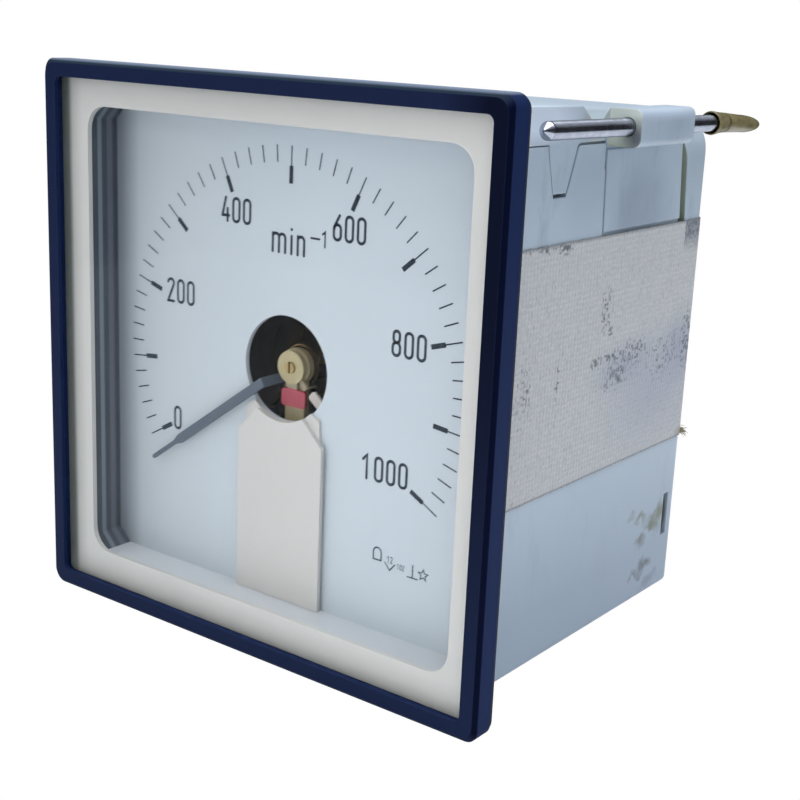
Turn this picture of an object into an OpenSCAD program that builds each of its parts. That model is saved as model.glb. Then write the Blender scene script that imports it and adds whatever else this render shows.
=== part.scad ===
// Square panel-mounted speed indicator, 96 x 96 mm front, with a 240 degree moving-coil movement.
// Frame: X to the right, Y into the panel, Z up. Y = 0 is the face that seats on the panel.

/* [Front frame] */
// Outer width and height of the square front frame
bezel_w = 96; // [94:0.5:100]
// Depth of the front frame without its gasket
bezel_d = 4.2; // [4:0.1:6]
// Width of the clear square opening in the front frame
bezel_open = 90; // [87:0.5:91]
// Outer corner radius of the front frame
bezel_r = 2.2; // [1:0.1:4]
// Chamfer around the front edge of the frame
bezel_chamfer = 0.7; // [0.3:0.1:1.2]
// Thickness of the lip that covers the edge of the pane
bezel_lip = 0.8; // [0.6:0.1:1.2]
// Thickness of the foam gasket behind the frame
gasket_t = 0.8; // [0.5:0.1:1.5]
// Width of the square panel cut-out that the case passes through
cutout_w = 92; // [91:0.5:93]

/* [Window and dial] */
// Thickness of the clear pane
pane_t = 1.4; // [1:0.1:1.8]
// Thickness of the cream mask behind the pane
mask_t = 0.9; // [0.5:0.1:1.2]
// Width of the opening in the mask
mask_open_w = 79.4; // [74:0.2:80]
// Height of the opening in the mask
mask_open_h = 79.8; // [74:0.2:80.2]
// Corner radius of the mask opening
mask_open_r = 4.2; // [2:0.2:8]
// Depth from the panel seat back to the printed face of the dial
dial_y = 5.15; // [4.8:0.05:8]
// Thickness of the dial plate
dial_t = 0.8; // [0.5:0.1:1.2]
// Radius of the round hole around the spindle in the dial
dial_hole_r = 9; // [8.4:0.1:10]
// Wall thickness of the square frame between mask and dial
dial_frame_t = 1.2; // [0.8:0.1:1.6]
// Width of the cover strip that hides the front bridge
cover_w = 18.6; // [14:0.2:24]
// Gap between the printed face and the front of the cover strip
cover_rise = 1.35; // [1.2:0.05:1.8]

/* [Case] */
// Outer width and height of the case
case_w = 87.4; // [86.8:0.1:88]
// Depth of the case behind the panel seat
case_d = 66.2; // [60:0.1:90]
// Wall thickness of the case behind the dial
case_wall = 3.5; // [3:0.1:4]
// Thickness of the closed rear wall
rear_wall = 2.6; // [2:0.1:4]
// Rounding of the two plain long edges
case_r = 1; // [0.6:0.1:2]
// Rounding of the two long edges beside the clamps
clamp_edge_r = 5; // [3.5:0.1:5.5]
// Rounding of the rear edges
rear_r = 2; // [1:0.1:2.4]
// Radius of the clamp corners behind the screw clamps
rear_edge_r = 9; // [5:0.5:10]
// Height of the case's centre above the centre of the front frame
case_lift = 0.25; // [0:0.05:0.4]
// Thickness of the front flange that the frame snaps over
flange_t = 1; // [0.8:0.1:1.2]

/* [Screw clamps] */
// Distance of the clamp screw's axis from the middle plane
rod_x = 47; // [46.8:0.1:47.6]
// Height of the clamp screw's axis above the middle of the case
rod_z = 42.1; // [41.6:0.1:42.6]
// Diameter of the clamp screw
rod_d = 2.8; // [2.5:0.1:3]
// Gap between the screw's tip and the panel seat
rod_tip = 4.6; // [3:0.1:12]
// Length of the clamp screw
rod_l = 62; // [58:0.5:72]
// Tilt of the clamp screw in its block, nose up
rod_tilt = 0.5; // [0:0.1:0.6]
// Length of the clamp block around the screw
head_l = 18.4; // [14:0.2:22]
// Gap between the panel seat and the front of the clamp block
head_y = 29; // [28:0.5:32]
// Length of the cap on the end of the screw
cap_l = 19.9; // [18:0.1:24]
// Outer diameter of the cap
cap_d = 3.4; // [3.4:0.1:4.2]
// Sag of the cap's soft tail against the screw
cap_bend = 2.5; // [0:0.5:4]
// Free travel of each clamp along its pocket
clamp_travel = 1.8; // [1.2:0.1:3]
// Thickness of the clamp's flat leg
leg_t = 1.4; // [1:0.1:1.6]
// Length of the clamp's flat leg below the block
leg_l = 34; // [28:1:44]

/* [Movement] */
// Angle of the resting pointer, clockwise from straight up
rest_angle = -125.7; // [-126.5:0.1:-118]
// Length of the pointer from the spindle to its tip
pointer_l = 37.3; // [34:0.1:38]
// Width of the pointer's broad part
pointer_w = 1.65; // [1.2:0.05:2.2]
// Width of the pointer's tip
tip_w = 0.75; // [0.4:0.05:1]
// Radius of the spindle
spindle_r = 0.6; // [0.5:0.05:0.8]
// Inner radius of the ring-shaped pole
pole_ri = 14.2; // [14.2:0.1:15]
// Radial thickness of the ring-shaped pole
pole_t = 4.3; // [3.5:0.1:6]
// Outer radius of the iron core ring
core_ro = 12.6; // [12.2:0.1:12.6]
// Radial thickness of the iron core ring
core_t = 3.3; // [2.5:0.1:3.3]
// Length of the iron core ring along the spindle
core_l = 7.8; // [6:0.2:8]
// Number of turns of each hairspring
spring_turns = 5; // [3:1:5]

/* [Terminals] */
// Distance between the two terminal studs
stud_gap = 28; // [20:1:40]
// Thread diameter of the terminal studs
stud_d = 4; // [3:0.5:5]
// Length of the studs behind the rear wall
stud_out = 11; // [9:0.5:16]

/* [Tape] */
// Width of the woven tape
tape_w = 40; // [30:1:48]
// Height of the tape's upper edge above the middle of the case
tape_top = 25.1; // [20:0.1:28]
// Thickness of the woven tape
tape_t = 0.3; // [0.2:0.05:0.4]

/* [Hidden] */
$fn = 64;
eps = 0.01;
fit = 0.05;
play = 0.3;

// stations along Y, from the front face of the frame to the back of the dial
front_y = -bezel_d - gasket_t;
pane_y = front_y + bezel_lip;
mask_y = pane_y + pane_t;
flange_y = mask_y + mask_t;
dial_back = dial_y + dial_t;

// seats inside the frame
rebate_w = bezel_open + 1.4;
insert_w = rebate_w - 0.2;
front_cavity = case_w - 3.6;
dial_w = front_cavity - 0.2;
frame_open = dial_w - 2 * dial_frame_t;
rear_cavity = case_w - 2 * case_wall;
cavity_end = case_d - rear_wall;

// corner of the case that the clamp hangs in
pad_x = case_w / 2 - 2.2;
ledge_z = rod_z - 2.2;
pad_l = 21;
pad_z = cutout_w / 2 - 0.15 - case_lift;
arm_l = 28.3;
pocket_deep = leg_t + 0.5;
leg_x = case_w / 2 - pocket_deep + 0.2;
rod_r = rod_d / 2;
head_out = rod_x + rod_r + 0.9;
head_z = rod_z - rod_r - 1.6;
head_top = rod_z + rod_r + 1.45;
leg_top = head_z - 0.6;
leg_end = leg_top - leg_l;
leg_step = tape_top + 0.5;
leg_gap = 0.5;
cap_y = rod_tip + rod_l - 8.5;

// movement stations
plate_t = 1.5;
plate_y = dial_back + 2.7;
plate_back = plate_y + plate_t;
core_y = plate_back + 2;
coil_y0 = core_y - 2;
coil_y1 = core_y + core_l + 2;
coil_bar = 1.6;
yoke_l = core_l + 3.7;
yoke_back = plate_back + yoke_l;
bridge_y = plate_y - 1;
bridge_t = 1.2;
rear_bridge_y = yoke_back + 2;
boss_x = rear_cavity / 2 - 3.5;
boss_z = 18;
core_ri = core_ro - core_t;
pole_ro = pole_ri + pole_t;
coil_ro = pole_ri - 0.4;
coil_ri = core_ri - 2.1;
magnet_w = 11;
magnet_top = core_ro + 1.3;
yoke_floor = pole_ro + 4.5;
yoke_leg_x = 9.5;
hub_r = 3.1;
spring_ri = 1.3;
spring_ro = 3.7;
spring_h = 0.45;
spring_y0 = bridge_y + bridge_t + 0.25;
spring_y1 = coil_y1 + 0.5;
root_y = spring_y0 + spring_h + 0.1;
arm_t = 0.4;
pointer_y = dial_y - cover_rise - 0.1;
riser_r = 5.05;
lead_angle = 129;
foot_screw_x = 9;
foot_screw_r = 0.8;
board_y = cavity_end - 2.4;
board_t = 1.6;
stud_r = stud_d / 2;
stud_core_r = 0.8 * stud_r;
stud_z = -8;
latch_z = -29.5;
latch_l = 8;

// plan (X, Z) shapes pushed along Y, and side (Y, Z) shapes pushed along X
module slab(y0, y1) { translate([0, y1, 0]) rotate([90, 0, 0]) linear_extrude(y1 - y0) children(); }
module cheek(x0, x1) { translate([x0, 0, 0]) rotate([90, 0, 90]) linear_extrude(x1 - x0) children(); }
module rod_y(x, z, y0, y1, r) { translate([x, y0, z]) rotate([-90, 0, 0]) cylinder(h = y1 - y0, r = r); }
module turn_y(x, z) { translate([x, 0, z]) rotate([-90, 0, 0]) rotate_extrude() children(); }
module lifted() { translate([0, 0, case_lift]) children(); }
module opposite() { rotate([0, 180, 0]) children(); }
module at_rest() { rotate([0, rest_angle, 0]) children(); }

module soft_rect(w, h, r) {
    square([w - 2 * r, h], center = true);
    square([w, h - 2 * r], center = true);
    for (sx = [-1, 1], sy = [-1, 1]) translate([sx * (w / 2 - r), sy * (h / 2 - r)]) circle(r);
}

// wedge with its point on the spindle, open by half angle a about the direction d
module wedge(a, d, reach = 40) {
    rotate(-d) polygon([[0, 0], [-reach * sin(a), reach * cos(a)], [0, reach * 1.3],
        [reach * sin(a), reach * cos(a)]]);
}

module sector(ri, ro, a, d = 0) {
    intersection() {
        difference() { circle(ro); circle(ri); }
        wedge(a, d);
    }
}

module bezel() color("#222c4a") {
    difference() {
        union() {
            slab(front_y + bezel_chamfer, -gasket_t) soft_rect(bezel_w, bezel_w, bezel_r);
            hull() {
                slab(front_y + bezel_chamfer, front_y + bezel_chamfer + eps)
                    soft_rect(bezel_w, bezel_w, bezel_r, $fn = 32);
                slab(front_y, front_y + eps)
                    soft_rect(bezel_w - 2 * bezel_chamfer, bezel_w - 2 * bezel_chamfer, bezel_r, $fn = 32);
            }
        }
        slab(front_y - 1, pane_y) soft_rect(bezel_open, bezel_open, 1.2);
        slab(pane_y, 1) soft_rect(rebate_w, rebate_w, 1.2);
    }
    for (a = [0 : 90 : 270]) rotate([0, a, 0]) snap_lug();
}

// hook that holds the case flange in the frame
module snap_lug() {
    lug_w = 10;
    difference() {
        translate([insert_w / 2 - 0.9, -gasket_t - 1, -lug_w / 2]) cube([1.5, gasket_t + 0.7, lug_w]);
        translate([insert_w / 2 - 2, -gasket_t - 2, -lug_w]) cube([2.1, 1.9 + fit, 2 * lug_w]);
    }
}

module pane() color("#dfe8ec", 0.3) {
    slab(pane_y, mask_y) soft_rect(insert_w, insert_w, 1.1);
}

module mask() color("#e9e4d8") {
    difference() {
        slab(mask_y, flange_y) soft_rect(insert_w, insert_w, 1.1);
        slab(mask_y - 1, flange_y + 1) soft_rect(mask_open_w, mask_open_h, mask_open_r);
    }
}

module gasket() color("#14171f") {
    difference() {
        slab(-gasket_t, 0) soft_rect(bezel_w - 0.4, bezel_w - 0.4, bezel_r);
        slab(-gasket_t - 1, 1) soft_rect(cutout_w + 0.6, cutout_w + 0.6, 1.5);
    }
}

// light box between mask and dial, with its inner corners cut across
module dial_frame() color("#b9bfc6") {
    difference() {
        slab(flange_y, dial_y) soft_rect(dial_w, dial_w, clamp_edge_r - 1.8);
        slab(flange_y - 1, dial_y + 1) octagon(frame_open / 2, 2.6);
    }
}

module octagon(w, c) {
    polygon([[-w, c - w], [c - w, -w], [w - c, -w], [w, c - w], [w, w - c], [w - c, w], [c - w, w], [-w, w - c]]);
}

module dial() color("#e3ebef") {
    difference() {
        slab(dial_y, dial_back) soft_rect(dial_w, dial_w, clamp_edge_r - 1.8);
        slab(dial_y - 1, dial_back + 1) circle(dial_hole_r);
    }
}

// strip from the bottom of the dial up to the spindle hole, on a narrower backing with two horns
module cover_strip() color("#e6e2d8") {
    foot = frame_open / 2 - 0.1;
    w = cover_w / 2;
    back = w - 1.1;
    difference() {
        union() {
            slab(dial_y - cover_rise, dial_y - 0.6) polygon([[-w, -foot], [w, -foot], [w, -dial_hole_r - 2.8],
                [w - 4.2, 1.4 - dial_hole_r], [4.2 - w, 1.4 - dial_hole_r], [-w, -dial_hole_r - 2.8]]);
            slab(dial_y - 0.6 - eps, dial_y) polygon([[-back, -foot], [back, -foot],
                [back, -dial_hole_r - 1.6], [back - 0.2, 1.6 - dial_hole_r], [back - 2, 2.6 - dial_hole_r],
                [2 - back, 2.6 - dial_hole_r], [0.2 - back, 1.6 - dial_hole_r], [-back, -dial_hole_r - 1.6]]);
        }
        rod_y(0, 0, dial_y - 2, dial_y + 1, dial_hole_r - 0.1);
    }
}

module case() color("#b3bfcc") difference() {
    union() {
        slab(flange_y, flange_y + flange_t) soft_rect(insert_w, insert_w, 1.1);
        lifted() case_block();
        lifted() centring_pad();
        lifted() opposite() centring_pad();
    }
    slab(flange_y - 1, dial_back) soft_rect(front_cavity, front_cavity, clamp_edge_r - 1.8);
    lifted() {
        case_cavity();
        clamp_pocket();
        opposite() clamp_pocket();
        rear_corner_cut();
        opposite() rear_corner_cut();
        for (sx = [-1, 1]) translate([sx * case_w / 2, board_y + board_t / 2, latch_z])
            cube([3 * case_wall, board_t + 0.2, latch_l], center = true);
        for (sx = [-1, 1]) rod_y(sx * stud_gap / 2, stud_z, cavity_end - 1, case_d + 1, stud_core_r + fit);
    }
    for (sx = [-1, 1], sz = [-1, 1]) rod_y(sx * boss_x, sz * boss_z, plate_back - 1, plate_back + 7, 1);
}

// square outline, drawn in by d, with wide roundings at the two clamp corners
module case_outline(d = 0) {
    w = case_w / 2 - d;
    wide = clamp_edge_r - d;
    plain = max(case_r - d, 0.05);
    for (k = [0, 180]) rotate(k) {
        translate([w - wide, w - wide]) circle(wide);
        translate([w - plain, plain - w]) circle(plain);
        polygon([[0, -w], [w - plain, -w], [w - plain, plain - w], [w, plain - w], [w, w - wide],
            [w - wide, w - wide], [w - wide, w], [0, w]]);
    }
}

module case_block() {
    slab(flange_y, case_d - rear_r) case_outline();
    hull() for (a = [0 : 22.5 : 90]) slab(case_d - rear_r * (1 - sin(a)) - eps, case_d - rear_r * (1 - sin(a)))
        case_outline(rear_r * (1 - cos(a)), $fn = 32);
}

// room for the works, with solid corners beside the clamps and four screw bosses
module case_cavity() {
    difference() {
        slab(dial_back - 1, cavity_end) soft_rect(rear_cavity, rear_cavity, 2);
        for (sx = [-1, 1], sz = [-1, 1]) {
            translate([sx * (boss_x + 2), plate_back, sz * boss_z - case_lift]) rotate([-90, 0, 0])
                linear_extrude(9) square([8, 5.6], center = true);
            rod_y(sx * (boss_x - 1), sz * boss_z - case_lift, plate_back, plate_back + 9, 2.8);
        }
    }
}

// raised pad that centres the case in the cut-out, drawn out to a latch tongue
module centring_pad() {
    cheek(pad_x, case_w / 2) polygon([[0, ledge_z - 6], [0, pad_z], [pad_l, pad_z - 0.4],
        [arm_l, ledge_z + 0.1], [arm_l, ledge_z - 6]]);
}

module clamp_pocket() {
    x = case_w / 2;
    back = clamp_travel + play;
    // tapered pocket for the clamp's leg, open at the rounded edge beside the block
    cheek(x - pocket_deep, x + 4) {
        polygon([[leg_front(leg_top) - leg_gap, leg_top + play], [leg_front(leg_end) - leg_gap, leg_end - 1],
            [leg_rear(leg_end) + back, leg_end - 1], [leg_rear(leg_top) + back, leg_top + play]]);
        polygon([[head_y - 0.1, leg_top - 3], [head_y - 0.1, cutout_w / 2],
            [head_y + head_l + back, cutout_w / 2], [head_y + head_l + back, leg_top - 3]]);
    }
    // grooves beside the latch tongue and its slot
    cheek(x - 0.7, x + 1) tongue_groove();
    cheek(x - 1.8, x + 1) translate([14, 32]) square([3.8, 0.6]);
}

// wider rounding of the clamp corner behind the block
module rear_corner_cut() {
    c = case_w / 2 - rear_edge_r;
    slab(head_y + head_l + clamp_travel + play - 1, case_d + 1) difference() {
        translate([c, c]) square(rear_edge_r + 1);
        translate([c, c]) circle(rear_edge_r);
    }
}

module tongue_groove() {
    polygon([[arm_l + 1, ledge_z], [21, ledge_z], [20.2, ledge_z - 0.4],
        [17.6, 32.5], [18, 32.5], [20.6, ledge_z - 0.7], [21.1, ledge_z - 0.4], [arm_l + 1, ledge_z - 0.4]]);
    polygon([[14, 32.5], [12, ledge_z - 0.7], [12, ledge_z], [1, ledge_z], [1, ledge_z - 0.2],
        [11.8, ledge_z - 0.2], [11.8, ledge_z - 0.7], [13.8, 32.5]]);
}

// edges of the clamp's leg at height z: they lean back towards its lower end
function leg_front(z) = head_y + 0.5 + (leg_top - z) * 0.058;
function leg_rear(z) = head_y + 26.4 + (leg_top - z) * 0.105;

module movement_plate() color("#9aa0a6") difference() {
    slab(plate_y, plate_back) soft_rect(rear_cavity - 1, 2 * boss_z + 8, 3);
    slab(plate_y - 1, plate_back + 1) {
        circle(pole_ri);
        polygon([[-yoke_leg_x, 4 - pole_ri], [yoke_leg_x, 4 - pole_ri], [foot_screw_x - 2, -pole_ri - 0.5],
            [2 - foot_screw_x, -pole_ri - 0.5]]);
        for (a = yoke_screw_angles) rotate(-a) translate([0, yoke_screw_r]) circle(0.9);
        for (sx = [-1, 1], sz = [-1, 1]) translate([sx * boss_x, sz * boss_z]) circle(1.2);
    }
    bridge_foot_holes(plate_y);
}

yoke_screw_angles = [-60, 0, 60];
yoke_screw_r = pole_ri + pole_t / 2;

module cheese_screw(x, z, y, l, r) {
    difference() {
        union() {
            rod_y(x, z, y, y + l, r);
            rod_y(x, z, y - 1.2, y, 1.9 * r);
        }
        translate([x, y - 1.2, z]) cube([0.5 * r, 1, 5 * r], center = true);
    }
}

module plate_screws() color("#c7cbcf") {
    for (sx = [-1, 1], sz = [-1, 1]) cheese_screw(sx * boss_x, sz * boss_z, plate_y, 6, 0.95);
}

module yoke() color("#6f757c") difference() {
    slab(plate_back, yoke_back) {
        difference() {
            circle(pole_ro);
            circle(pole_ri);
            wedge(38, 180);
        }
        for (s = [-1, 1]) translate([s * (yoke_leg_x + 1.5), -(yoke_floor + pole_ri - 3) / 2])
            square([3, yoke_floor - pole_ri + 3], center = true);
        translate([0, -yoke_floor + 1.4]) square([2 * yoke_leg_x + 6, 2.8], center = true);
    }
    for (a = yoke_screw_angles)
        rod_y(yoke_screw_r * sin(a), yoke_screw_r * cos(a), plate_back - 1, plate_back + 4.5, 0.8);
    for (s = [-1, 1]) rod_y(s * yoke_screw_r, 0, yoke_back - 4, yoke_back + 1, 0.8);
}

module yoke_screws() color("#c7cbcf") {
    for (a = yoke_screw_angles)
        cheese_screw(yoke_screw_r * sin(a), yoke_screw_r * cos(a), plate_y, plate_t + 4, 0.75);
}

module magnet() color("#4d5157") {
    top = magnet_top;
    translate([-magnet_w / 2, core_y - 1, -yoke_floor + 2.8]) cube([magnet_w, core_l + 2, yoke_floor - 2.8 - top]);
}

module core() color("#848a91") {
    slab(core_y, core_y + core_l) {
        difference() { circle(core_ro); circle(core_ri); }
        translate([0, -(core_ro + magnet_top) / 2 + 0.5]) square([9, magnet_top - core_ro + 1], center = true);
    }
}

// arm up the middle of the works that carries the front bearing
module front_bridge() color("#c9a75a") difference() {
    union() {
        slab(bridge_y, bridge_y + bridge_t) {
            circle(hub_r);
            translate([-2.1, -pole_ri]) square([4.2, pole_ri]);
        }
        slab(plate_y - bridge_t, plate_y) translate([0, -pole_ri - 1.5]) soft_rect(24, 4, 1);
        slab(plate_y - bridge_t, bridge_y + bridge_t) translate([0, -pole_ri + 1]) square([4.2, 2], center = true);
        rod_y(0, 0, bridge_y - 0.75, bridge_y + 0.5, 1.5);
    }
    rod_y(0, 0, bridge_y - 2, bridge_y + bridge_t + 1, 1.02);
    bridge_foot_holes(plate_y - bridge_t);
}

module bridge_foot_holes(y) {
    for (s = [-1, 1]) rod_y(foot_screw_x * s, -pole_ri - 1.5, y - 1, y + 4, foot_screw_r + fit);
}

module jewel_screw(y0, y1, open_at_end) {
    difference() {
        rod_y(0, 0, y0, y1, 1);
        if (open_at_end) {
            rod_y(0, 0, y1 - 0.7, y1 + 1, 0.35);
            translate([0, y0, 0]) cube([0.4, 0.8, 3], center = true);
        } else {
            rod_y(0, 0, y0 - 1, y0 + 0.7, 0.35);
            translate([0, y1, 0]) cube([0.4, 0.8, 3], center = true);
        }
    }
}

module front_jewel() color("#d8bb6a") jewel_screw(bridge_y - 1.6, bridge_y + bridge_t, true);

module lock_nut() color("#cbb98c") difference() {
    rod_y(0, 0, bridge_y - 1.25, bridge_y - 0.75, 2.85);
    rod_y(0, 0, bridge_y - 2, bridge_y, 1.02);
}

// solder tag of the fixed hairspring end, on a foot of its own
module lead_tag() color("#e4ddcb") {
    y = dial_back + 0.4;
    slab(y, y + 0.5) rotate(-lead_angle) translate([0, 10.6]) soft_rect(1.7, 9.4, 0.5);
    slab(y, plate_y) rotate(-lead_angle) translate([0, 14.9]) soft_rect(1.7, 1.6, 0.5);
}

module rear_bridge() color("#c9a75a") difference() {
    union() {
        slab(rear_bridge_y, rear_bridge_y + bridge_t) {
            soft_rect(2 * pole_ro, 5.4, 1.5);
            circle(hub_r + 1);
        }
        for (s = [-1, 1]) translate([s * yoke_screw_r, 0, 0]) slab(yoke_back, rear_bridge_y) circle(1.9);
    }
    rod_y(0, 0, rear_bridge_y - 1, rear_bridge_y + bridge_t + 1, 1.02);
    for (s = [-1, 1]) rod_y(s * yoke_screw_r, 0, yoke_back - 1, rear_bridge_y + bridge_t + 1, 0.8);
}

module rear_jewel() color("#d8bb6a") jewel_screw(rear_bridge_y - 0.2, rear_bridge_y + bridge_t + 1.2, false);

module bridge_screws() color("#c7cbcf") {
    y = rear_bridge_y + bridge_t;
    for (s = [-1, 1]) difference() {
        union() {
            rod_y(s * yoke_screw_r, 0, yoke_back - 3.5, y, 0.75);
            rod_y(s * yoke_screw_r, 0, y, y + 1.2, 1.5);
        }
        translate([s * yoke_screw_r, y + 1.2, 0]) cube([0.4, 1, 4], center = true);
    }
    for (s = [-1, 1]) cheese_screw(foot_screw_x * s, -pole_ri - 1.5, plate_y - bridge_t, bridge_t + plate_t, foot_screw_r);
}

// flat spiral strip, measured along its middle line
function spiral(a, turns, ri, ro, off) = let (r = ri + (ro - ri) * a / (360 * turns) + off)
    [r * sin(a), r * cos(a)];

module hairspring(y0, lead) {
    steps = spring_turns * 20;
    sweep = 360 * spring_turns;
    slab(y0, y0 + spring_h) rotate(lead) polygon(concat(
        [for (i = [0 : steps]) spiral(i * sweep / steps, spring_turns, spring_ri, spring_ro, 0.06)],
        [for (i = [steps : -1 : 0]) spiral(i * sweep / steps, spring_turns, spring_ri, spring_ro, -0.06)]));
}

module hairsprings() color("#b98d4a") {
    hairspring(spring_y0, -140);
    hairspring(spring_y1, 40);
}

module spindle() color("#c3c8cc") {
    turn_y(0, 0) polygon([[0, bridge_y + 0.75], [0.22, bridge_y + 0.95],
        [0.22, spring_y0 - 0.15], [1, spring_y0 - 0.1], [1, spring_y0 + spring_h], [spindle_r, spring_y0 + spring_h],
        [spindle_r, spring_y1 - 0.05], [1, spring_y1 - 0.05], [1, spring_y1 + spring_h + 0.1],
        [0.22, spring_y1 + spring_h + 0.15], [0.22, rear_bridge_y + 0.2], [0, rear_bridge_y + 0.4]]);
}

module coil() color("#b5713a") at_rest() {
    difference() {
        slab(coil_y0, coil_y1) sector(coil_ri, coil_ro, 11);
        slab(coil_y0 + coil_bar, coil_y1 - coil_bar) sector(core_ri - 0.4, core_ro + 0.35, 14);
    }
    for (y = [coil_y0 + 0.2, coil_y1 - 0.8]) slab(y, y + 0.6) difference() {
        translate([0, coil_ri / 2 + 0.1]) square([2.4, coil_ri + 0.2], center = true);
        circle(spindle_r);
    }
}

module pointer() color("#46505e") at_rest() {
    slab(pointer_y, pointer_y + arm_t) polygon([[-pointer_w / 2, riser_r - 0.35],
        [pointer_w / 2, riser_r - 0.35], [pointer_w / 2, 28.9], [tip_w / 2, 30.4],
        [tip_w / 2, pointer_l - 0.3], [tip_w / 5, pointer_l], [-tip_w / 5, pointer_l],
        [-tip_w / 2, pointer_l - 0.3], [-tip_w / 2, 30.4], [-pointer_w / 2, 28.9]]);
    slab(pointer_y, root_y + arm_t) translate([0, riser_r]) square([pointer_w, 0.7], center = true);
    slab(root_y, root_y + arm_t) difference() {
        union() {
            translate([0, riser_r / 2]) square([pointer_w, riser_r], center = true);
            circle(1.3);
        }
        circle(spindle_r);
    }
}

module balance_weights() color("#c9a75a") at_rest() {
    y = core_y + 1;
    for (a = [150, 210]) {
        slab(y, y + 0.5) rotate(-a) difference() {
            translate([0, 2.9]) square([0.7, 5.8], center = true);
            circle(spindle_r);
        }
        rotate([0, a, 0]) rod_y(0, 5.2, y - 0.4, y + 1.6, 0.8);
    }
}

// lever around the front bearing that carries the outer end of the hairspring
module zero_lever() color("#c23b4e") {
    y = bridge_y - 0.65;
    pin_r = 4.3;
    difference() {
        slab(y, y + 0.55) difference() {
            union() {
                circle(2.7);
                rotate(-140) translate([0, pin_r / 2]) square([0.9, pin_r + 0.4], center = true);
                translate([0.2, -5.4]) soft_rect(5.2, 3, 0.6);
                translate([0, -3]) square([2, 2.4], center = true);
            }
            circle(1.58);
        }
    }
    rod_y(pin_r * sin(140), pin_r * cos(140), y, spring_y0 + spring_h, 0.2);
}

module terminal_board() color("#7a5a2e") lifted() difference() {
    slab(board_y, board_y + board_t) {
        soft_rect(rear_cavity - 1, 54, 2);
        translate([0, latch_z]) square([case_w - 2, latch_l - 0.8], center = true);
    }
    for (sx = [-1, 1]) rod_y(sx * stud_gap / 2, stud_z, board_y - 1, board_y + board_t + 1, stud_r + fit);
}

module resistor() color("#c9b48a") lifted() {
    y = board_y - 3.2;
    translate([0, y, 10]) rotate([0, 90, 0]) {
        cylinder(h = 12, r = 2.4, center = true);
        cylinder(h = 18, r = 0.35, center = true);
    }
    for (s = [-1, 1]) rod_y(9 * s, 10, y - 0.35, board_y, 0.35);
}

module trimmer() color("#3c6fa0") lifted() difference() {
    union() {
        translate([18, board_y - 4, 4]) cube([7, 4, 7]);
        rod_y(21.5, 7.5, board_y - 4.8, board_y - 3.9, 1.8);
    }
    translate([21.5, board_y - 4.8, 7.5]) cube([0.6, 1, 3], center = true);
}

// one wire as a run of straight lengths with rounded bends
module wire(pts, r) {
    for (i = [0 : len(pts) - 2]) {
        d = pts[i + 1] - pts[i];
        translate(pts[i]) rotate([0, acos(d[2] / norm(d)), atan2(d[1], d[0])]) cylinder(h = norm(d), r = r, $fn = 16);
    }
    for (i = [1 : len(pts) - 2]) translate(pts[i]) sphere(r * 1.05, $fn = 16);
}

module leads() color("#8c2f2b") {
    y_end = board_y;
    wire([[22.5, plate_back, -16], [22.5, y_end - 8, -16], [10, y_end - 5, -2], [10, y_end, -2]], 0.55);
    wire([[-22.5, plate_back, -16], [-22.5, y_end - 8, -16], [-10, y_end - 5, -2], [-10, y_end, -2]], 0.55);
}

module terminal_studs() color("#cfae5e") lifted() for (sx = [-1, 1]) {
    x = sx * stud_gap / 2;
    nut_y = case_d + 2 + 0.8 * stud_d;
    rod_y(x, stud_z, board_y - 3, nut_y, stud_core_r);
    rod_y(x, stud_z, nut_y, case_d + stud_out, stud_r);
    rod_y(x, stud_z, board_y - 1.6, board_y, stud_r + 2);
}

module terminal_washers() color("#c7cbcf") lifted() for (sx = [-1, 1], k = [0, 1]) difference() {
    rod_y(sx * stud_gap / 2, stud_z, case_d + k, case_d + 0.8 + k * 0.99, stud_r + 2.4 - 0.4 * k);
    rod_y(sx * stud_gap / 2, stud_z, case_d - 1, case_d + 4, stud_r + 0.2);
}

module terminal_nuts() color("#cfae5e") lifted() for (sx = [-1, 1]) difference() {
    translate([sx * stud_gap / 2, case_d + 2, stud_z]) rotate([-90, 0, 0])
        cylinder(h = 0.8 * stud_d, r = stud_d, $fn = 6);
    rod_y(sx * stud_gap / 2, stud_z, case_d, case_d + 2 + stud_d, stud_core_r + fit);
}

// woven tape from behind the frame, along the side and round the rear edge
module tape() color("#b9b6ad") lifted() translate([0, 0, tape_top - tape_w]) linear_extrude(tape_w) difference() {
    tape_plan(tape_t, 0);
    tape_plan(0, 1);
}

module tape_plan(t, over) {
    r = rear_r + t;
    x0 = case_w / 2 - 8 - over;
    x1 = case_w / 2 + t;
    y0 = 1.6 - over;
    y1 = case_d + t;
    translate([x0, y0]) square([x1 - r - x0, y1 - y0]);
    translate([x0, y0]) square([x1 - x0, y1 - r - y0]);
    translate([x1 - r, y1 - r]) circle(r);
}

// the screw leans a little in its block
module on_screw() {
    y = head_y + head_l / 2;
    translate([rod_x, y, rod_z]) rotate([-rod_tilt, 0, 0]) translate([-rod_x, -y, -rod_z]) children();
}

// block around the screw, joined along its lower edge to a flat leg in the side of the case
module clamp_body() {
    difference() {
        union() {
            slab(head_y, head_y + head_l) head_outline();
            cheek(leg_x, leg_x + leg_t) polygon([[leg_front(leg_top), head_z + 0.6],
                [leg_front(leg_top), leg_top], [leg_front(leg_end), leg_end], [leg_rear(leg_end), leg_end],
                [leg_rear(leg_top), leg_top], [head_y + head_l, leg_top], [head_y + head_l, head_z + 0.6]]);
            // its upper part is flush with the case, and the rest passes under the tape
            cheek(leg_x, case_w / 2) polygon([[leg_front(leg_top), leg_top], [leg_front(leg_step), leg_step],
                [leg_rear(leg_step), leg_step], [leg_rear(leg_top), leg_top]]);
        }
        on_screw() rod_y(rod_x, rod_z, head_y - 1, head_y + head_l + 1, rod_r + fit);
    }
}

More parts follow.
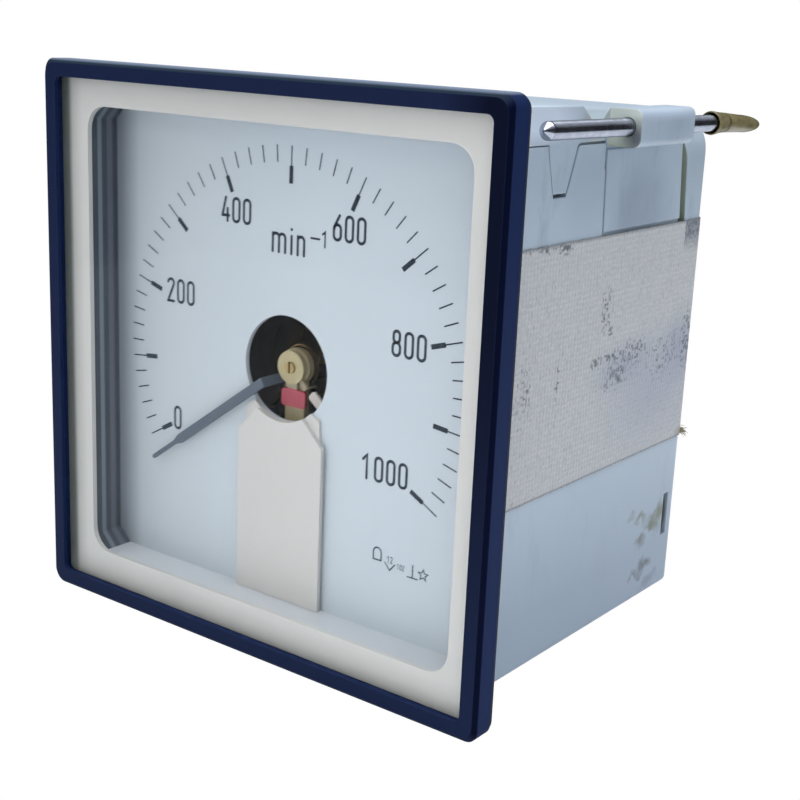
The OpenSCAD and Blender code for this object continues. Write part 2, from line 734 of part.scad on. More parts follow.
module head_outline() {
    w = head_out - leg_x;
    h = head_top - head_z;
    difference() {
        translate([leg_x + w / 2, head_z + h / 2]) soft_rect(w, h, 1.3);
        polygon([[leg_x - 1, head_top - 3.2], [leg_x, head_top - 3.2], [leg_x + 1.9, head_top],
            [leg_x + 1.9, head_top + 1], [leg_x - 1, head_top + 1]]);
    }
    translate([leg_x, head_z]) square(leg_t);
}

module clamp_top() color("#c9cfd4") lifted() clamp_body();
module clamp_bottom() color("#c9cfd4") lifted() opposite() clamp_body();

module clamp_screw() {
    on_screw() turn_y(rod_x, rod_z) polygon([[0, rod_tip], [rod_r * 0.15, rod_tip],
        [rod_r * 0.85, rod_tip + 0.95], [rod_r, rod_tip + 1.15], [rod_r, rod_tip + rod_l], [0, rod_tip + rod_l]]);
}

module screw_top() color("#9aa1a8") lifted() clamp_screw();
module screw_bottom() color("#9aa1a8") lifted() opposite() clamp_screw();

// cap pushed on the end of the screw: open mouth, collar, groove, then a long soft tail
module screw_cap() {
    r = cap_d / 2;
    neck = 6.5;
    tail = cap_l - neck;
    on_screw() difference() {
        union() {
            turn_y(rod_x, rod_z) polygon([[0, cap_y], [r, cap_y], [r, cap_y + neck - 0.4],
                [r - 0.12, cap_y + neck - 0.2], [r - 0.12, cap_y + neck + 1], [0, cap_y + neck + 1]]);
            translate([rod_x, cap_y + neck, rod_z]) rotate([-cap_bend, 0, 0]) turn_y(0, 0)
                polygon(concat([[0, 0.3], [r - 0.06, 0.3], [r, 0.6]],
                    [for (a = [0 : 15 : 75]) [0.85 * r * cos(a), tail * (0.45 + 0.55 * sin(a))]], [[0, tail]]));
        }
        turn_y(rod_x, rod_z) polygon([[0, cap_y - 1], [rod_r + 0.15, cap_y - 1], [rod_r + 0.15, cap_y + 2.2],
            [rod_r + fit, cap_y + 2.4], [rod_r + fit, rod_tip + rod_l + fit], [0, rod_tip + rod_l + fit]]);
    }
}

module cap_top() color("#8a8460") lifted() screw_cap();
module cap_bottom() color("#8a8460") lifted() opposite() screw_cap();

bezel();
pane();
mask();
gasket();
dial_frame();
dial();
cover_strip();
case();
movement_plate();
plate_screws();
yoke();
yoke_screws();
magnet();
core();
front_bridge();
front_jewel();
lock_nut();
lead_tag();
rear_bridge();
rear_jewel();
bridge_screws();
hairsprings();
terminal_board();
resistor();
trimmer();
leads();
terminal_studs();
terminal_washers();
terminal_nuts();
tape();
spindle();
coil();
pointer();
balance_weights();
zero_lever();
clamp_top();
clamp_bottom();
screw_top();
screw_bottom();
cap_top();
cap_bottom();
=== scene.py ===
import math
import random

import bpy
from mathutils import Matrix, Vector


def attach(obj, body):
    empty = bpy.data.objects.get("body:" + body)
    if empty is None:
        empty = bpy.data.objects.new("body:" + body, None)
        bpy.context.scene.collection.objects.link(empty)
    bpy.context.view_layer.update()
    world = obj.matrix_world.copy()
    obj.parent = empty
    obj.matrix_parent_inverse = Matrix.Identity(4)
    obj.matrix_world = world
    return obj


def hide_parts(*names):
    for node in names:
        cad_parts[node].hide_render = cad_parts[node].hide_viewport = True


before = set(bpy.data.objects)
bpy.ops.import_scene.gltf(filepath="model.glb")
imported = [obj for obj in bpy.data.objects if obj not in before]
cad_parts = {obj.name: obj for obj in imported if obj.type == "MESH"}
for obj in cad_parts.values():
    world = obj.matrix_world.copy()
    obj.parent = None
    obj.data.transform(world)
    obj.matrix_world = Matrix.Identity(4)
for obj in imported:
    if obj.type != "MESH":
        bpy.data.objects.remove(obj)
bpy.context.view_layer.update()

# Viewpoint
# The photograph was taken with a long lens from the right of the dial and a little above
# it, with the camera rolled slightly anticlockwise.
camera = bpy.data.objects.new("camera", bpy.data.cameras.new("camera"))
bpy.context.scene.collection.objects.link(camera)
bpy.context.scene.camera = camera
camera.data.lens = 63.22
camera.data.sensor_width = 36
camera.data.clip_start = 0.01
camera.location = (0.15013, -0.16543, 0.05657)
looks_at, roll = Vector((0.00551, 0.030, -0.00899)), math.radians(2.52)
camera.rotation_euler = (looks_at - camera.location).to_track_quat("-Z", "Y").to_euler()
camera.rotation_euler.rotate_axis("Z", roll)


# Front frame
# One ABS moulding in navy, with a narrow front face, a chamfered outer edge and a thin
# lip over the pane. It snaps over the flange of the case.
def linear(code):
    """sRGB hex colour as the linear colour that a shader wants."""
    parts = [int(code[i:i + 2], 16) / 255 for i in (1, 3, 5)]
    return [c / 12.92 if c <= 0.04045 else ((c + 0.055) / 1.055) ** 2.4 for c in parts] + [1.0]


def put(tree, node, **inputs):
    """Gives inputs of a node a value, a hex colour, or a link from a socket or from the first
    output of a node. An input called i0, i1 or i2 is told by its number."""
    for name, value in inputs.items():
        socket = node.inputs[int(name[1:]) if name[1:].isdigit() else name.replace("_", " ")]
        if isinstance(value, bpy.types.Node):
            value = value.outputs[0]
        if isinstance(value, bpy.types.NodeSocket):
            tree.links.new(value, socket)
        else:
            socket.default_value = linear(value) if isinstance(value, str) else value


def add(tree, kind, **settings):
    """Adds a shader node. Each setting is one of its properties or one of its inputs."""
    node = tree.nodes.new("ShaderNode" + kind)
    for name, value in settings.items():
        if name in node.bl_rna.properties:
            setattr(node, name, value)
        else:
            put(tree, node, **{name: value})
    return node


def new_material(name):
    """A new material, its node tree, its surface shader and the object coordinates."""
    material = bpy.data.materials.new(name)
    material.use_nodes = True
    tree = material.node_tree
    place = add(tree, "TexCoord").outputs["Object"]
    return material, tree, tree.nodes["Principled BSDF"], place


def dress(material, *names):
    """Gives CAD nodes their material."""
    for name in names:
        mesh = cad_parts[name].data
        mesh.materials.clear()
        mesh.materials.append(material)


# moulded ABS: fine spark-eroded grain of about 0.15 mm, paler where hands have rubbed the edges.
# The front face carries painted shade, darkest high on the right. The chamfer carries painted
# shade, nearly black, on the right and painted light on top, and is plain navy on the other two
# sides. The upper edge carries a pale painted sheen of reflected light.
navy_abs, tree, shader, place = new_material("moulded_navy_abs")
round_edge = add(tree, "Bevel", samples=4, Radius=0.0003)
geometry = add(tree, "NewGeometry")
edge = add(tree, "VectorMath", operation="DOT_PRODUCT", i0=round_edge,
           i1=geometry.outputs["True Normal"])
rubbed = add(tree, "MapRange", Value=edge.outputs["Value"], From_Min=0.99, From_Max=0.75)
patchy = add(tree, "TexNoise", Vector=place, Scale=1000 / 2.38, Detail=4)
worn = add(tree, "Math", operation="MULTIPLY", i0=rubbed, i1=patchy.outputs["Fac"])
facing = add(tree, "SeparateXYZ", Vector=geometry.outputs["True Normal"])
towards = add(tree, "Math", operation="ABSOLUTE", i0=facing.outputs["Y"])
front = add(tree, "Math", operation="GREATER_THAN", i0=towards, i1=0.95)
spot = add(tree, "SeparateXYZ", Vector=place)
# painted shade: the front face is darkened high on the right
right = add(tree, "MapRange", Value=spot.outputs["X"], From_Min=0.036, From_Max=0.044)
high = add(tree, "MapRange", Value=spot.outputs["Z"], From_Min=-0.045, From_Max=0.015)
painted_front_shade = add(tree, "Math", operation="MULTIPLY", i0=right, i1=high)
face = add(tree, "MixRGB", Fac=painted_front_shade, Color1="#18223e", Color2="#090f24")
body = add(tree, "MixRGB", Fac=front, Color1="#18264a", Color2=face)
# painted shade on the right of the chamfer and painted light on its top
chamfer = add(tree, "Math", operation="COMPARE", i0=towards, i1=0.6, i2=0.35)
painted_chamfer_shade = add(tree, "MapRange", Value=facing.outputs["X"], From_Min=0.3, From_Max=0.6)
painted_chamfer_light = add(tree, "MapRange", Value=facing.outputs["Z"], From_Min=0.3, From_Max=0.6)
slant = add(tree, "MixRGB", Fac=painted_chamfer_shade, Color1="#1a2340", Color2="#030922")
slant = add(tree, "MixRGB", Fac=painted_chamfer_light, Color1=slant, Color2="#1e2b39")
body = add(tree, "MixRGB", Fac=chamfer, Color1=body, Color2=slant)
# painted sheen: reflected light painted pale along the upper edge
rim = add(tree, "MapRange", Value=spot.outputs["Z"], From_Min=0.0476, From_Max=0.048, To_Max=0.55)
body = add(tree, "MixRGB", Fac=rim, Color1=body, Color2="#8d9bb0")
colour = add(tree, "MixRGB", Fac=worn, Color1=body, Color2="#33405f")
grain = add(tree, "TexNoise", Vector=place, Scale=1000 / 0.15, Detail=1)
bump = add(tree, "Bump", Strength=0.12, Distance=0.00003, Height=grain.outputs["Fac"],
           Normal=round_edge)
put(tree, shader, Base_Color=colour, Normal=bump, Roughness=0.5, Specular_IOR_Level=0.03)
dress(navy_abs, "bezel")


# Window pane
# A clear moulded polystyrene plate in the rebate of the frame. It is so thin that it bends
# no light that shows: its own gloss is the coat, which mirrors faintly, and the body only
# passes what is behind.
clear_ps, tree, shader, place = new_material("clear_polystyrene")
haze = add(tree, "TexNoise", Vector=place, Scale=1000 / 16.7, Detail=3)
rough = add(tree, "MapRange", Value=haze.outputs["Fac"], To_Max=0.03)
put(tree, shader, Roughness=rough, Base_Color="#fbfdfe", Transmission_Weight=1.0,
    IOR=1.01, Coat_Weight=0.25, Coat_Roughness=0.03, Coat_IOR=1.59, Alpha=0.45)
pane_w, pane_r, pane_front, pane_back = 91.2, 1.1, -4.2, -2.83


def rounded(w, h, r, cx=0, cz=0, steps=6):
    """Points (x, z) of a rectangle with rounded corners, anticlockwise from the upper right."""
    corners = ((1, 1), (-1, 1), (-1, -1), (1, -1))
    return [(cx + sx * (w / 2 - r) + r * math.cos(a), cz + sz * (h / 2 - r) + r * math.sin(a))
            for quarter, (sx, sz) in enumerate(corners)
            for a in (math.pi / 2 * (quarter + k / steps) for k in range(steps + 1))]


def mesh_piece(name, points, faces, body, material):
    """A new mesh object from points in millimetres, that rides on a body."""
    mesh = bpy.data.meshes.new(name)
    mesh.from_pydata([[c / 1000 for c in point] for point in points], [], faces)
    mesh.materials.append(material)
    mesh.update()
    piece = bpy.data.objects.new(name, mesh)
    bpy.context.scene.collection.objects.link(piece)
    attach(piece, body)
    return piece


rim = rounded(pane_w, pane_w, pane_r)
n = len(rim)
points = [(x, y, z) for y in (pane_front, pane_back) for x, z in rim]
faces = [tuple(range(n)), tuple(reversed(range(n, 2 * n)))]
faces += [(k, n + k, n + (k + 1) % n, (k + 1) % n) for k in range(n)]
pane = mesh_piece("clear_pane", points, faces, "case_assembly", clear_ps)
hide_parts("pane")


# Cream mask
# A cream plate behind the pane with a round-cornered window that sits a little high and to
# the right. Painted shade makes it darker to the left, and painted olive shade lies along its
# left and lower borders, where the rim of the pane shades it.

# moulded polystyrene: a pale, slightly clouded cream with a satin skin
cream_ps, tree, shader, place = new_material("satin_cream_polystyrene")
spot = add(tree, "SeparateXYZ", Vector=place)
tint = add(tree, "TexNoise", Vector=place, Scale=1000 / 22.2, Detail=3)
colour = add(tree, "MixRGB", Fac=tint.outputs["Fac"], Color1="#cac9c6", Color2="#c2c1be")
# painted shade: darker to the left, and dark olive along the left and lower borders
for axis, start, end, share, shade in (
        ("X", -0.041, 0.03, 0.45, "#a9a9a7"), ("X", -0.0436, -0.0405, 0.55, "#83857f"),
        ("X", -0.0440, -0.0430, 0.9, "#454c49"), ("Z", -0.0450, -0.0405, 0.4, "#858a80")):
    painted_shade_ramp = add(tree, "MapRange", Value=spot.outputs[axis], From_Min=start, From_Max=end,
                 To_Min=share, To_Max=0)
    colour = add(tree, "MixRGB", Fac=painted_shade_ramp, Color1=colour, Color2=shade)
fine = add(tree, "TexNoise", Vector=place, Scale=1000 / 0.2)
bump = add(tree, "Bump", Strength=0.08, Distance=0.00003, Height=fine.outputs["Fac"])
put(tree, shader, Base_Color=colour, Normal=bump, Roughness=0.55)
dress(cream_ps, "cover_strip")


def joined(rows, n, closed=False):
    """Faces between rows of n points. Each row is a loop. If closed, the last joins the first."""
    last = rows if closed else rows - 1
    pairs = [(i * n, (i + 1) % rows * n) for i in range(last)]
    return [(a + k, a + (k + 1) % n, b + (k + 1) % n, b + k) for a, b in pairs for k in range(n)]


mask_front, mask_back = -2.8, -1.9
opening = rounded(80.0, 80.3, 4.1, cx=0.9, cz=0.35)
loops = ((rim, mask_front), (opening, mask_front), (opening, mask_back), (rim, mask_back))
points = [(x, y, z) for loop, y in loops for x, z in loop]
faces = joined(len(loops), n, closed=True)
mask = mesh_piece("cream_mask", points, faces, "case_assembly", cream_ps)
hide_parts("mask")


# Gasket
# A ring of black closed-cell foam between the frame and the panel, pressed a little flat so
# that its edges bulge. Its cells of about 0.3 mm look like dull, slightly pitted rubber.
foam, tree, shader, place = new_material("closed_cell_foam")
cells = add(tree, "TexVoronoi", Vector=place, Scale=1000 / 0.3)
bump = add(tree, "Bump", Strength=0.5, Distance=0.00006, Height=cells.outputs["Distance"])
colour = add(tree, "MixRGB", Fac=cells.outputs["Distance"], Color1="#15171c", Color2="#23262d")
put(tree, shader, Base_Color=colour, Normal=bump, Roughness=0.85)
gasket_w, gasket_r, strip_w, strip_t, bulge = 95.6, 2.2, 1.5, 0.8, 0.12
section = [(0.0, -strip_t + bulge), (-bulge, -strip_t), (bulge - strip_w, -strip_t),
           (-strip_w, -strip_t + bulge), (-strip_w, -bulge), (bulge - strip_w, 0.0),
           (-bulge, 0.0), (0.0, -bulge)]
loops = [rounded(gasket_w + 2 * out, gasket_w + 2 * out, gasket_r + out) for out, y in section]
points = [(x, y, z) for around in zip(*loops) for (x, z), (out, y) in zip(around, section)]
faces = joined(len(loops[0]), len(section), closed=True)
foam_ring = mesh_piece("foam_gasket", points, faces, "case_assembly", foam)
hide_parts("gasket")


# Light box
# The square frame between mask and dial, moulded in grey. Its upright walls carry painted shade
# and two pale bands of painted reflection, and its floor is painted lighter for the light from
# above.

# moulded polystyrene: grey and a little cloudy, with a low gloss
grey_ps, tree, shader, place = new_material("moulded_grey_polystyrene")
spot = add(tree, "SeparateXYZ", Vector=place)
# painted light and shade: upright walls dark and floor pale, by the way each face points
wall = add(tree, "SeparateXYZ", Vector=add(tree, "NewGeometry").outputs["Normal"])
slope = add(tree, "Math", operation="ABSOLUTE", i0=wall.outputs["X"])
upright = add(tree, "Math", operation="GREATER_THAN", i0=slope, i1=0.4)
cloud = add(tree, "TexNoise", Vector=place, Scale=1000 / 11.1)
side = add(tree, "MixRGB", Fac=cloud.outputs["Fac"], Color1="#353f4a", Color2="#454c56")
# two pale bands of painted reflection on the upright walls
for depth, reach, tone in ((0.0011, 0.0006, "#717d88"), (0.0034, 0.0008, "#5f6571")):
    away = add(tree, "Math", operation="SUBTRACT", i0=spot.outputs["Y"], i1=depth)
    away = add(tree, "Math", operation="ABSOLUTE", i0=away)
    band = add(tree, "MapRange", Value=away, From_Min=0.6 * reach, From_Max=reach, To_Min=1,
               To_Max=0)
    side = add(tree, "MixRGB", Fac=band, Color1=side, Color2=tone)
colour = add(tree, "MixRGB", Fac=upright, Color1="#bfc4c9", Color2=side)
put(tree, shader, Base_Color=colour, Roughness=0.4)
dress(grey_ps, "dial_frame")


# Dial
# An aluminium plate stove-enamelled in a cool white. The enamel is matt, very slightly
# uneven, shows a few specks of dust and carries painted shade, darker towards the left wall.
enamel, tree, shader, place = new_material("matt_white_enamel")
cloud = add(tree, "TexNoise", Vector=place, Scale=1000 / 45.5)
tone = add(tree, "MixRGB", Fac=cloud.outputs["Fac"], Color1="#b8c2ca", Color2="#c0cad1")
spot = add(tree, "SeparateXYZ", Vector=place)
# painted shade: a broad darkening to the left and a stronger one beside the left wall
for start, end, share, shade in ((-0.036, 0.008, 0.8, "#aab2b8"),
                                 (-0.0395, -0.0350, 0.6, "#565f6b")):
    left = add(tree, "MapRange", Value=spot.outputs["X"], From_Min=start, From_Max=end,
               To_Min=share, To_Max=0)
    tone = add(tree, "MixRGB", Fac=left, Color1=tone, Color2=shade)
specks = add(tree, "TexVoronoi", Vector=place, Scale=1000 / 7)
speck = add(tree, "Math", operation="LESS_THAN", i0=specks.outputs["Distance"], i1=0.018)
colour = add(tree, "MixRGB", Fac=speck, Color1=tone, Color2="#9aa5ad")
put(tree, shader, Base_Color=colour, Roughness=0.6)
dress(enamel, "dial")


# Scale marks
# Screen-printed black ink: a thin mark for every 20, and a thin mark that ends in a thick
# bar for every 100. The print lies 0.02 mm proud of the enamel.
dial_face_y, ink_t = 5.15, 0.02
print_y = dial_face_y - ink_t


def mottled(name, spots, one, other, detail=2, **finish):
    """A material that wanders between two tones in spots of a size in mm. The finish is the
    shader's other inputs."""
    material, tree, shader, place = new_material(name)
    cloud = add(tree, "TexNoise", Vector=place, Scale=1000 / spots, Detail=detail)
    colour = add(tree, "MixRGB", Fac=cloud.outputs["Fac"], Color1=one, Color2=other)
    put(tree, shader, Base_Color=colour, **finish)
    return material


# ink that doesn't cover evenly, so it is black to dark grey, and dull
ink = mottled("screen_printed_ink", 0.25, "#1d2631", "#39434f", Roughness=0.5,
              Specular_IOR_Level=0.1)


def scale_angle(value):
    """Angle of a scale value, clockwise from straight up. The scale is a little uneven."""
    u = (value - 500) / 500
    return math.radians(119.3 * u + 1.5 * math.sin(math.pi * u) + 0.6 * math.cos(math.pi / 2 * u))


marks, quads = [], []


def radial_mark(value, inner, outer, width):
    """A straight mark along the radius of a scale value, in millimetres."""
    a = scale_angle(value)
    along, across = Vector((math.sin(a), math.cos(a))), Vector((math.cos(a), -math.sin(a)))
    base = len(marks)
    for radius, side in ((inner, -1), (inner, 1), (outer, 1), (outer, -1)):
        p = along * radius + across * side * width / 2
        marks.append((p.x, print_y, p.y))
    quads.append(tuple(range(base, base + 4)))


bar_start, bar_end, long_start, short_start, mark_end = 30.67, 33.5, 33.2, 33.93, 36.72
thin, thick = 0.24, 0.82
for value in range(0, 1001, 20):
    if value % 100 == 0:
        radial_mark(value, long_start, mark_end, thin)
        radial_mark(value, bar_start, bar_end, thick)
    else:
        radial_mark(value, short_start, mark_end, thin)
scale_marks = mesh_piece("scale_marks", marks, quads, "case_assembly", ink)


# Numbers, unit and instrument symbols
# The same ink. The figures are narrow upright block figures 4.4 mm high, drawn with one
# stroke width and round ends.
def ribbon(points, faces, path, width, closed=False):
    """Adds a flat stroke along a path of (x, z) points in millimetres. The round ends of an open
    path are ten-sided discs that lie a hair higher."""
    path = [Vector(p) for p in path]
    n, sides = len(path), 10
    base = len(points)
    for i, p in enumerate(path):
        before = path[(i - 1) % n] if closed or i > 0 else p
        after = path[(i + 1) % n] if closed or i < n - 1 else p
        d_in = (p - before).normalized() if (p - before).length > 1e-9 else (after - p).normalized()
        d_out = (after - p).normalized() if (after - p).length > 1e-9 else d_in
        middle = (d_in + d_out).normalized()
        side = Vector((-middle.y, middle.x)) * width / 2 / max(0.5, middle.dot(d_in))
        for s in (1, -1):
            q = p + side * s
            points.append((q.x, print_y, q.y))
    for i in range(n if closed else n - 1):
        a, b = base + 2 * i, base + 2 * ((i + 1) % n)
        faces.append((a, a + 1, b + 1, b))
    if not closed:
        for p in (path[0], path[-1]):
            faces.append(tuple(range(len(points), len(points) + sides)))
            for k in range(sides):
                t = math.tau * k / sides
                q = p + Vector((math.cos(t), math.sin(t))) * width / 2
                points.append((q.x, print_y - ink_t / 10, q.y))


def arc(x, z, r, a0, a1, steps=10):
    """Points of an arc, with angles in degrees anticlockwise from +X."""
    return [(x + r * math.cos(math.radians(a0 + (a1 - a0) * k / steps)),
             z + r * math.sin(math.radians(a0 + (a1 - a0) * k / steps))) for k in range(steps + 1)]


figure_h, figure_w, stroke = 4.4, 1.92, 0.5
top, right, mid = figure_h - stroke / 2, figure_w - stroke / 2, figure_w / 2
bow = mid - stroke / 2
figures = {
    "0": [(arc(mid, top - bow, bow, 0, 180) + arc(mid, stroke / 2 + bow, bow, 180, 360), True)],
    "1": [([(0.15, 3.35), (0.95, top), (0.95, stroke / 2)], False)],
    "2": [(arc(mid, top - bow, bow, 170, -25) + [(stroke / 2, stroke / 2), (right, stroke / 2)],
           False)],
    "4": [([(1.0, top), (stroke / 2, 1.15), (right + 0.1, 1.15)], False),
          ([(1.4, 2.3), (1.4, stroke / 2)], False)],
    "6": [([(1.35, top), (0.42, 2.45), (0.28, 1.9)], False),
          (arc(mid, 1.95, bow, 0, 180) + arc(mid, stroke / 2 + bow, bow, 180, 360), True)],
    "8": [(arc(mid, top - 0.6, 0.6, 0, 180) + arc(mid, 2.9, 0.6, 180, 360), True),
          (arc(mid, 1.6, bow, 0, 180) + arc(mid, stroke / 2 + bow, bow, 180, 360), True)],
}


def write(points, faces, word, x, z, pitch=2.43, size=1.0):
    """A number centred on (x, z), in millimetres."""
    left = x - (pitch * (len(word) - 1) + figure_w) / 2 * size
    for k, letter in enumerate(word):
        for path, closed in figures[letter]:
            moved = [(left + (k * pitch + px) * size, z + (pz - figure_h / 2) * size)
                     for px, pz in path]
            ribbon(points, faces, moved, stroke * size, closed)


points, faces = [], []
for word, x, z in (("0", -25.3, -13.6), ("200", -24.6, 9.4), ("400", -11.6, 25.05),
                   ("600", 12.65, 24.75), ("800", 25.2, 8.25), ("1000", 21.5, -12.95)):
    write(points, faces, word, x, z)
numbers = mesh_piece("scale_numbers", points, faces, "case_assembly", ink)

# min, to the power of minus one
points, faces = [], []
foot, x_height, stem, raised = 19.35, 22.05, 1.35, 0.34
for first, arches in ((-3.35, 2), (2.05, 1)):
    ribbon(points, faces, [(first, foot), (first, x_height + 0.3)], stroke)
    for k in range(arches):
        left = first + stem * k
        bend = arc(left + stem / 2, x_height - stem / 2 + 0.3, stem / 2, 150, 0)
        ribbon(points, faces, bend + [(left + stem, foot)], stroke)
ribbon(points, faces, [(0.7, foot), (0.7, x_height + 0.2)], stroke)
ribbon(points, faces, [(0.7, x_height + 1.25), (0.7, x_height + 1.3)], stroke)
ribbon(points, faces, [(4.85, 22.45), (6.6, 22.45)], raised)
ribbon(points, faces, [(7.25, 23.3), (7.75, 23.75), (7.75, 21.3)], raised)
unit = mesh_piece("unit_word", points, faces, "case_assembly", ink)

# usual signs of such instruments: movement, accuracy, upright mounting and test voltage
points, faces = [], []
fine = 0.22
arch = [(19.9, -28.2), (19.9, -26.9)] + arc(20.7, -26.9, 0.8, 180, 0) + [(21.5, -28.2)]
ribbon(points, faces, arch, 0.26, True)
ribbon(points, faces, [(22.3, -28.2), (23.3, -29.4), (24.3, -28.2)], fine)
write(points, faces, "12", 23.3, -27.6, size=0.27)
write(points, faces, "102", 25.5, -28.3, size=0.22)
ribbon(points, faces, [(27.9, -27.3), (27.9, -29.4)], fine)
ribbon(points, faces, [(26.9, -29.45), (28.9, -29.45)], fine)
star = []
for k in range(10):
    r, a = (1.0, 0.42)[k % 2], math.pi * k / 5
    star.append((30.0 + r * math.sin(a), -28.4 + r * math.cos(a)))
ribbon(points, faces, star, 0.2, True)
signs = mesh_piece("instrument_signs", points, faces, "case_assembly", ink)


# Case
# A deep box moulded in pale blue-grey polystyrene. Painted light lightens the pad that the panel
# held, it is olive grey in the recesses, and it has olive streaks near the rear of its right side.
def patch(tree, place, centre, reach, soft=0.6):
    """Mask of a soft oval about a point in millimetres: 1 in its middle, 0 beyond its reach."""
    offset = add(tree, "VectorMath", operation="SUBTRACT", i0=place, i1=[c / 1000 for c in centre])
    scaled = add(tree, "VectorMath", operation="MULTIPLY", i0=offset, i1=[1000 / r for r in reach])
    away = add(tree, "VectorMath", operation="LENGTH", i0=scaled)
    return add(tree, "MapRange", Value=away.outputs["Value"], From_Min=1 - soft, To_Min=1, To_Max=0)


def tinted_oval(tree, colour, place, centre, reach, tint, soft=0.6, share=1.0):
    """A colour with a soft oval of a tint laid over it, at a share of its full strength."""
    mark = patch(tree, place, centre, reach, soft)
    mark = add(tree, "Math", operation="MULTIPLY", i0=mark, i1=share)
    return add(tree, "MixRGB", Fac=mark, Color1=colour, Color2=tint)


case_half = 43.7
# moulded polystyrene: smooth, blue-grey and a little cloudy, rubbed darker in upright streaks
# 18 mm long, which are narrow on the rear and wider on the sides
case_ps, tree, shader, place = new_material("aged_blue_grey_polystyrene")
spot = add(tree, "SeparateXYZ", Vector=place)
broad = add(tree, "TexNoise", Vector=place, Scale=1000 / 35.7, Detail=5, Roughness=0.55)
colour = add(tree, "MixRGB", Fac=broad.outputs["Fac"], Color1="#9dadbb", Color2="#acbac7")
smear = add(tree, "Mapping", Vector=place, Scale=[1000 / size for size in (2.38, 5.95, 17.9)])
streak = add(tree, "TexNoise", Vector=smear, Scale=1, Detail=6, Roughness=0.7)
rubbed = add(tree, "MapRange", Value=streak.outputs["Fac"], From_Min=0.56, From_Max=0.78,
             To_Max=0.7)
colour = add(tree, "MixRGB", Fac=rubbed, Color1=colour, Color2="#8492a0")
# dull grey handling marks below the clamp and on its head
uneven = add(tree, "MapRange", Value=broad.outputs["Fac"], From_Min=0.35, From_Max=0.6, To_Min=0.25)
for centre, reach, tint in (((case_half, 42, 27), (3, 14, 11), "#8391a2"),
                            ((case_half, 24, 33), (3, 9, 9), "#8594a4"),
                            ((49.4, 38, 42), (3, 14, 6), "#7b899c")):
    colour = tinted_oval(tree, colour, place, centre, reach, tint, share=uneven)
# painted light on the pad and on the top of the head, painted shade in the V in front of the
# clamp and on the top beside it, and a darker patch at the rear of the top
for centre, reach, tint in (((case_half, 8, 44), (3.4, 16, 4.2), "#cfdbea"),
                            ((42.6, 26, 43.2), (5.5, 5.5, 4), "#a5ab9c"),
                            ((38, 32, case_half), (10, 15, 1.5), "#95a3ad"),
                            ((48, 38, 44.6), (4, 15, 1.5), "#a8b6c7"),
                            ((22, 60, case_half), (20, 18, 1.5), "#9fadba")):
    colour = tinted_oval(tree, colour, place, centre, reach, tint)
# painted shade: the lower part is darker
low = add(tree, "MapRange", Value=spot.outputs["Z"], From_Min=-0.008, From_Max=-0.034, To_Max=0.9)
colour = add(tree, "MixRGB", Fac=low, Color1=colour, Color2="#8292a3")
# olive streaks beside the slot, each broken up by noise
blur = add(tree, "TexNoise", Vector=place, Scale=1000 / 3.5, Detail=6)
aside = add(tree, "VectorMath", operation="SUBTRACT", i0=blur.outputs["Color"], i1=(0.5, 0.5, 0.5))
aside = add(tree, "VectorMath", operation="MULTIPLY", i0=aside, i1=(0, 0.007, 0.007))
ragged = add(tree, "VectorMath", operation="ADD", i0=place, i1=aside)
broken = add(tree, "MapRange", Value=blur.outputs["Fac"], From_Min=0.35, From_Max=0.5, To_Min=0.55)
for y, z, along, up, tint in ((59.6, -28.9, 2.6, 4, "#616a5c"), (56.9, -29.2, 3, 1.6, "#5f695f"),
                              (52.6, -27.6, 3.6, 1, "#6b776f"), (48, -26.5, 3.2, 0.7, "#7c8b8c"),
                              (53.3, -32.3, 2.3, 2.6, "#5f6b6c"), (55.2, -37.3, 3, 1.8, "#56626a"),
                              (51.6, -38.4, 3.4, 0.9, "#66727c"), (57.4, -41.4, 5, 1.5, "#748192")):
    colour = tinted_oval(tree, colour, ragged, (case_half, y, z), (3, along, up), tint, soft=0.7,
                   share=broken)
# painted shade inside the short slot
colour = tinted_oval(tree, colour, place, (42.2, 62.2, -29.4), (1.38, 1.5, 5), "#646f6b", soft=0.1)
# inside the pocket, and on the front face of each clamp block, the plastic is olive grey. A
# face that looks outward counts as lying 1.5 mm further out, so the clamp's leg keeps its blue
# grey.
side = add(tree, "Math", operation="SIGN", i0=spot.outputs["X"])
outside = add(tree, "Math", operation="MULTIPLY", i0=spot.outputs["X"], i1=side)
upward = add(tree, "Math", operation="MULTIPLY", i0=spot.outputs["Z"], i1=side)
outward = add(tree, "SeparateXYZ", Vector=add(tree, "NewGeometry").outputs["True Normal"])
outward = add(tree, "Math", operation="ABSOLUTE", i0=outward.outputs["X"])
reckoned = add(tree, "Math", operation="MULTIPLY_ADD", i0=outward, i1=0.0015, i2=outside)
deep = add(tree, "Math", operation="COMPARE", i0=reckoned, i1=0.0426, i2=0.001)
high = add(tree, "Math", operation="COMPARE", i0=upward, i1=0.0212, i2=0.0182)
behind = add(tree, "Math", operation="COMPARE", i0=spot.outputs["Y"], i1=0.054, i2=0.006)
slot = add(tree, "Math", operation="MULTIPLY", i0=deep, i1=high)
slot = add(tree, "Math", operation="MULTIPLY", i0=slot, i1=behind)
colour = add(tree, "MixRGB", Fac=slot, Color1=colour, Color2="#8b958a")
block_y = add(tree, "Math", operation="COMPARE", i0=spot.outputs["Y"], i1=0.029, i2=0.0003)
proud = add(tree, "Math", operation="GREATER_THAN", i0=outside, i1=0.0439)
block_face = add(tree, "Math", operation="MULTIPLY", i0=block_y, i1=proud)
# the block face is paler towards its top
fade = add(tree, "MapRange", Value=upward, From_Min=0.0385, From_Max=0.0445)
face = add(tree, "MixRGB", Fac=fade, Color1="#a0a698", Color2="#bfc8c4")
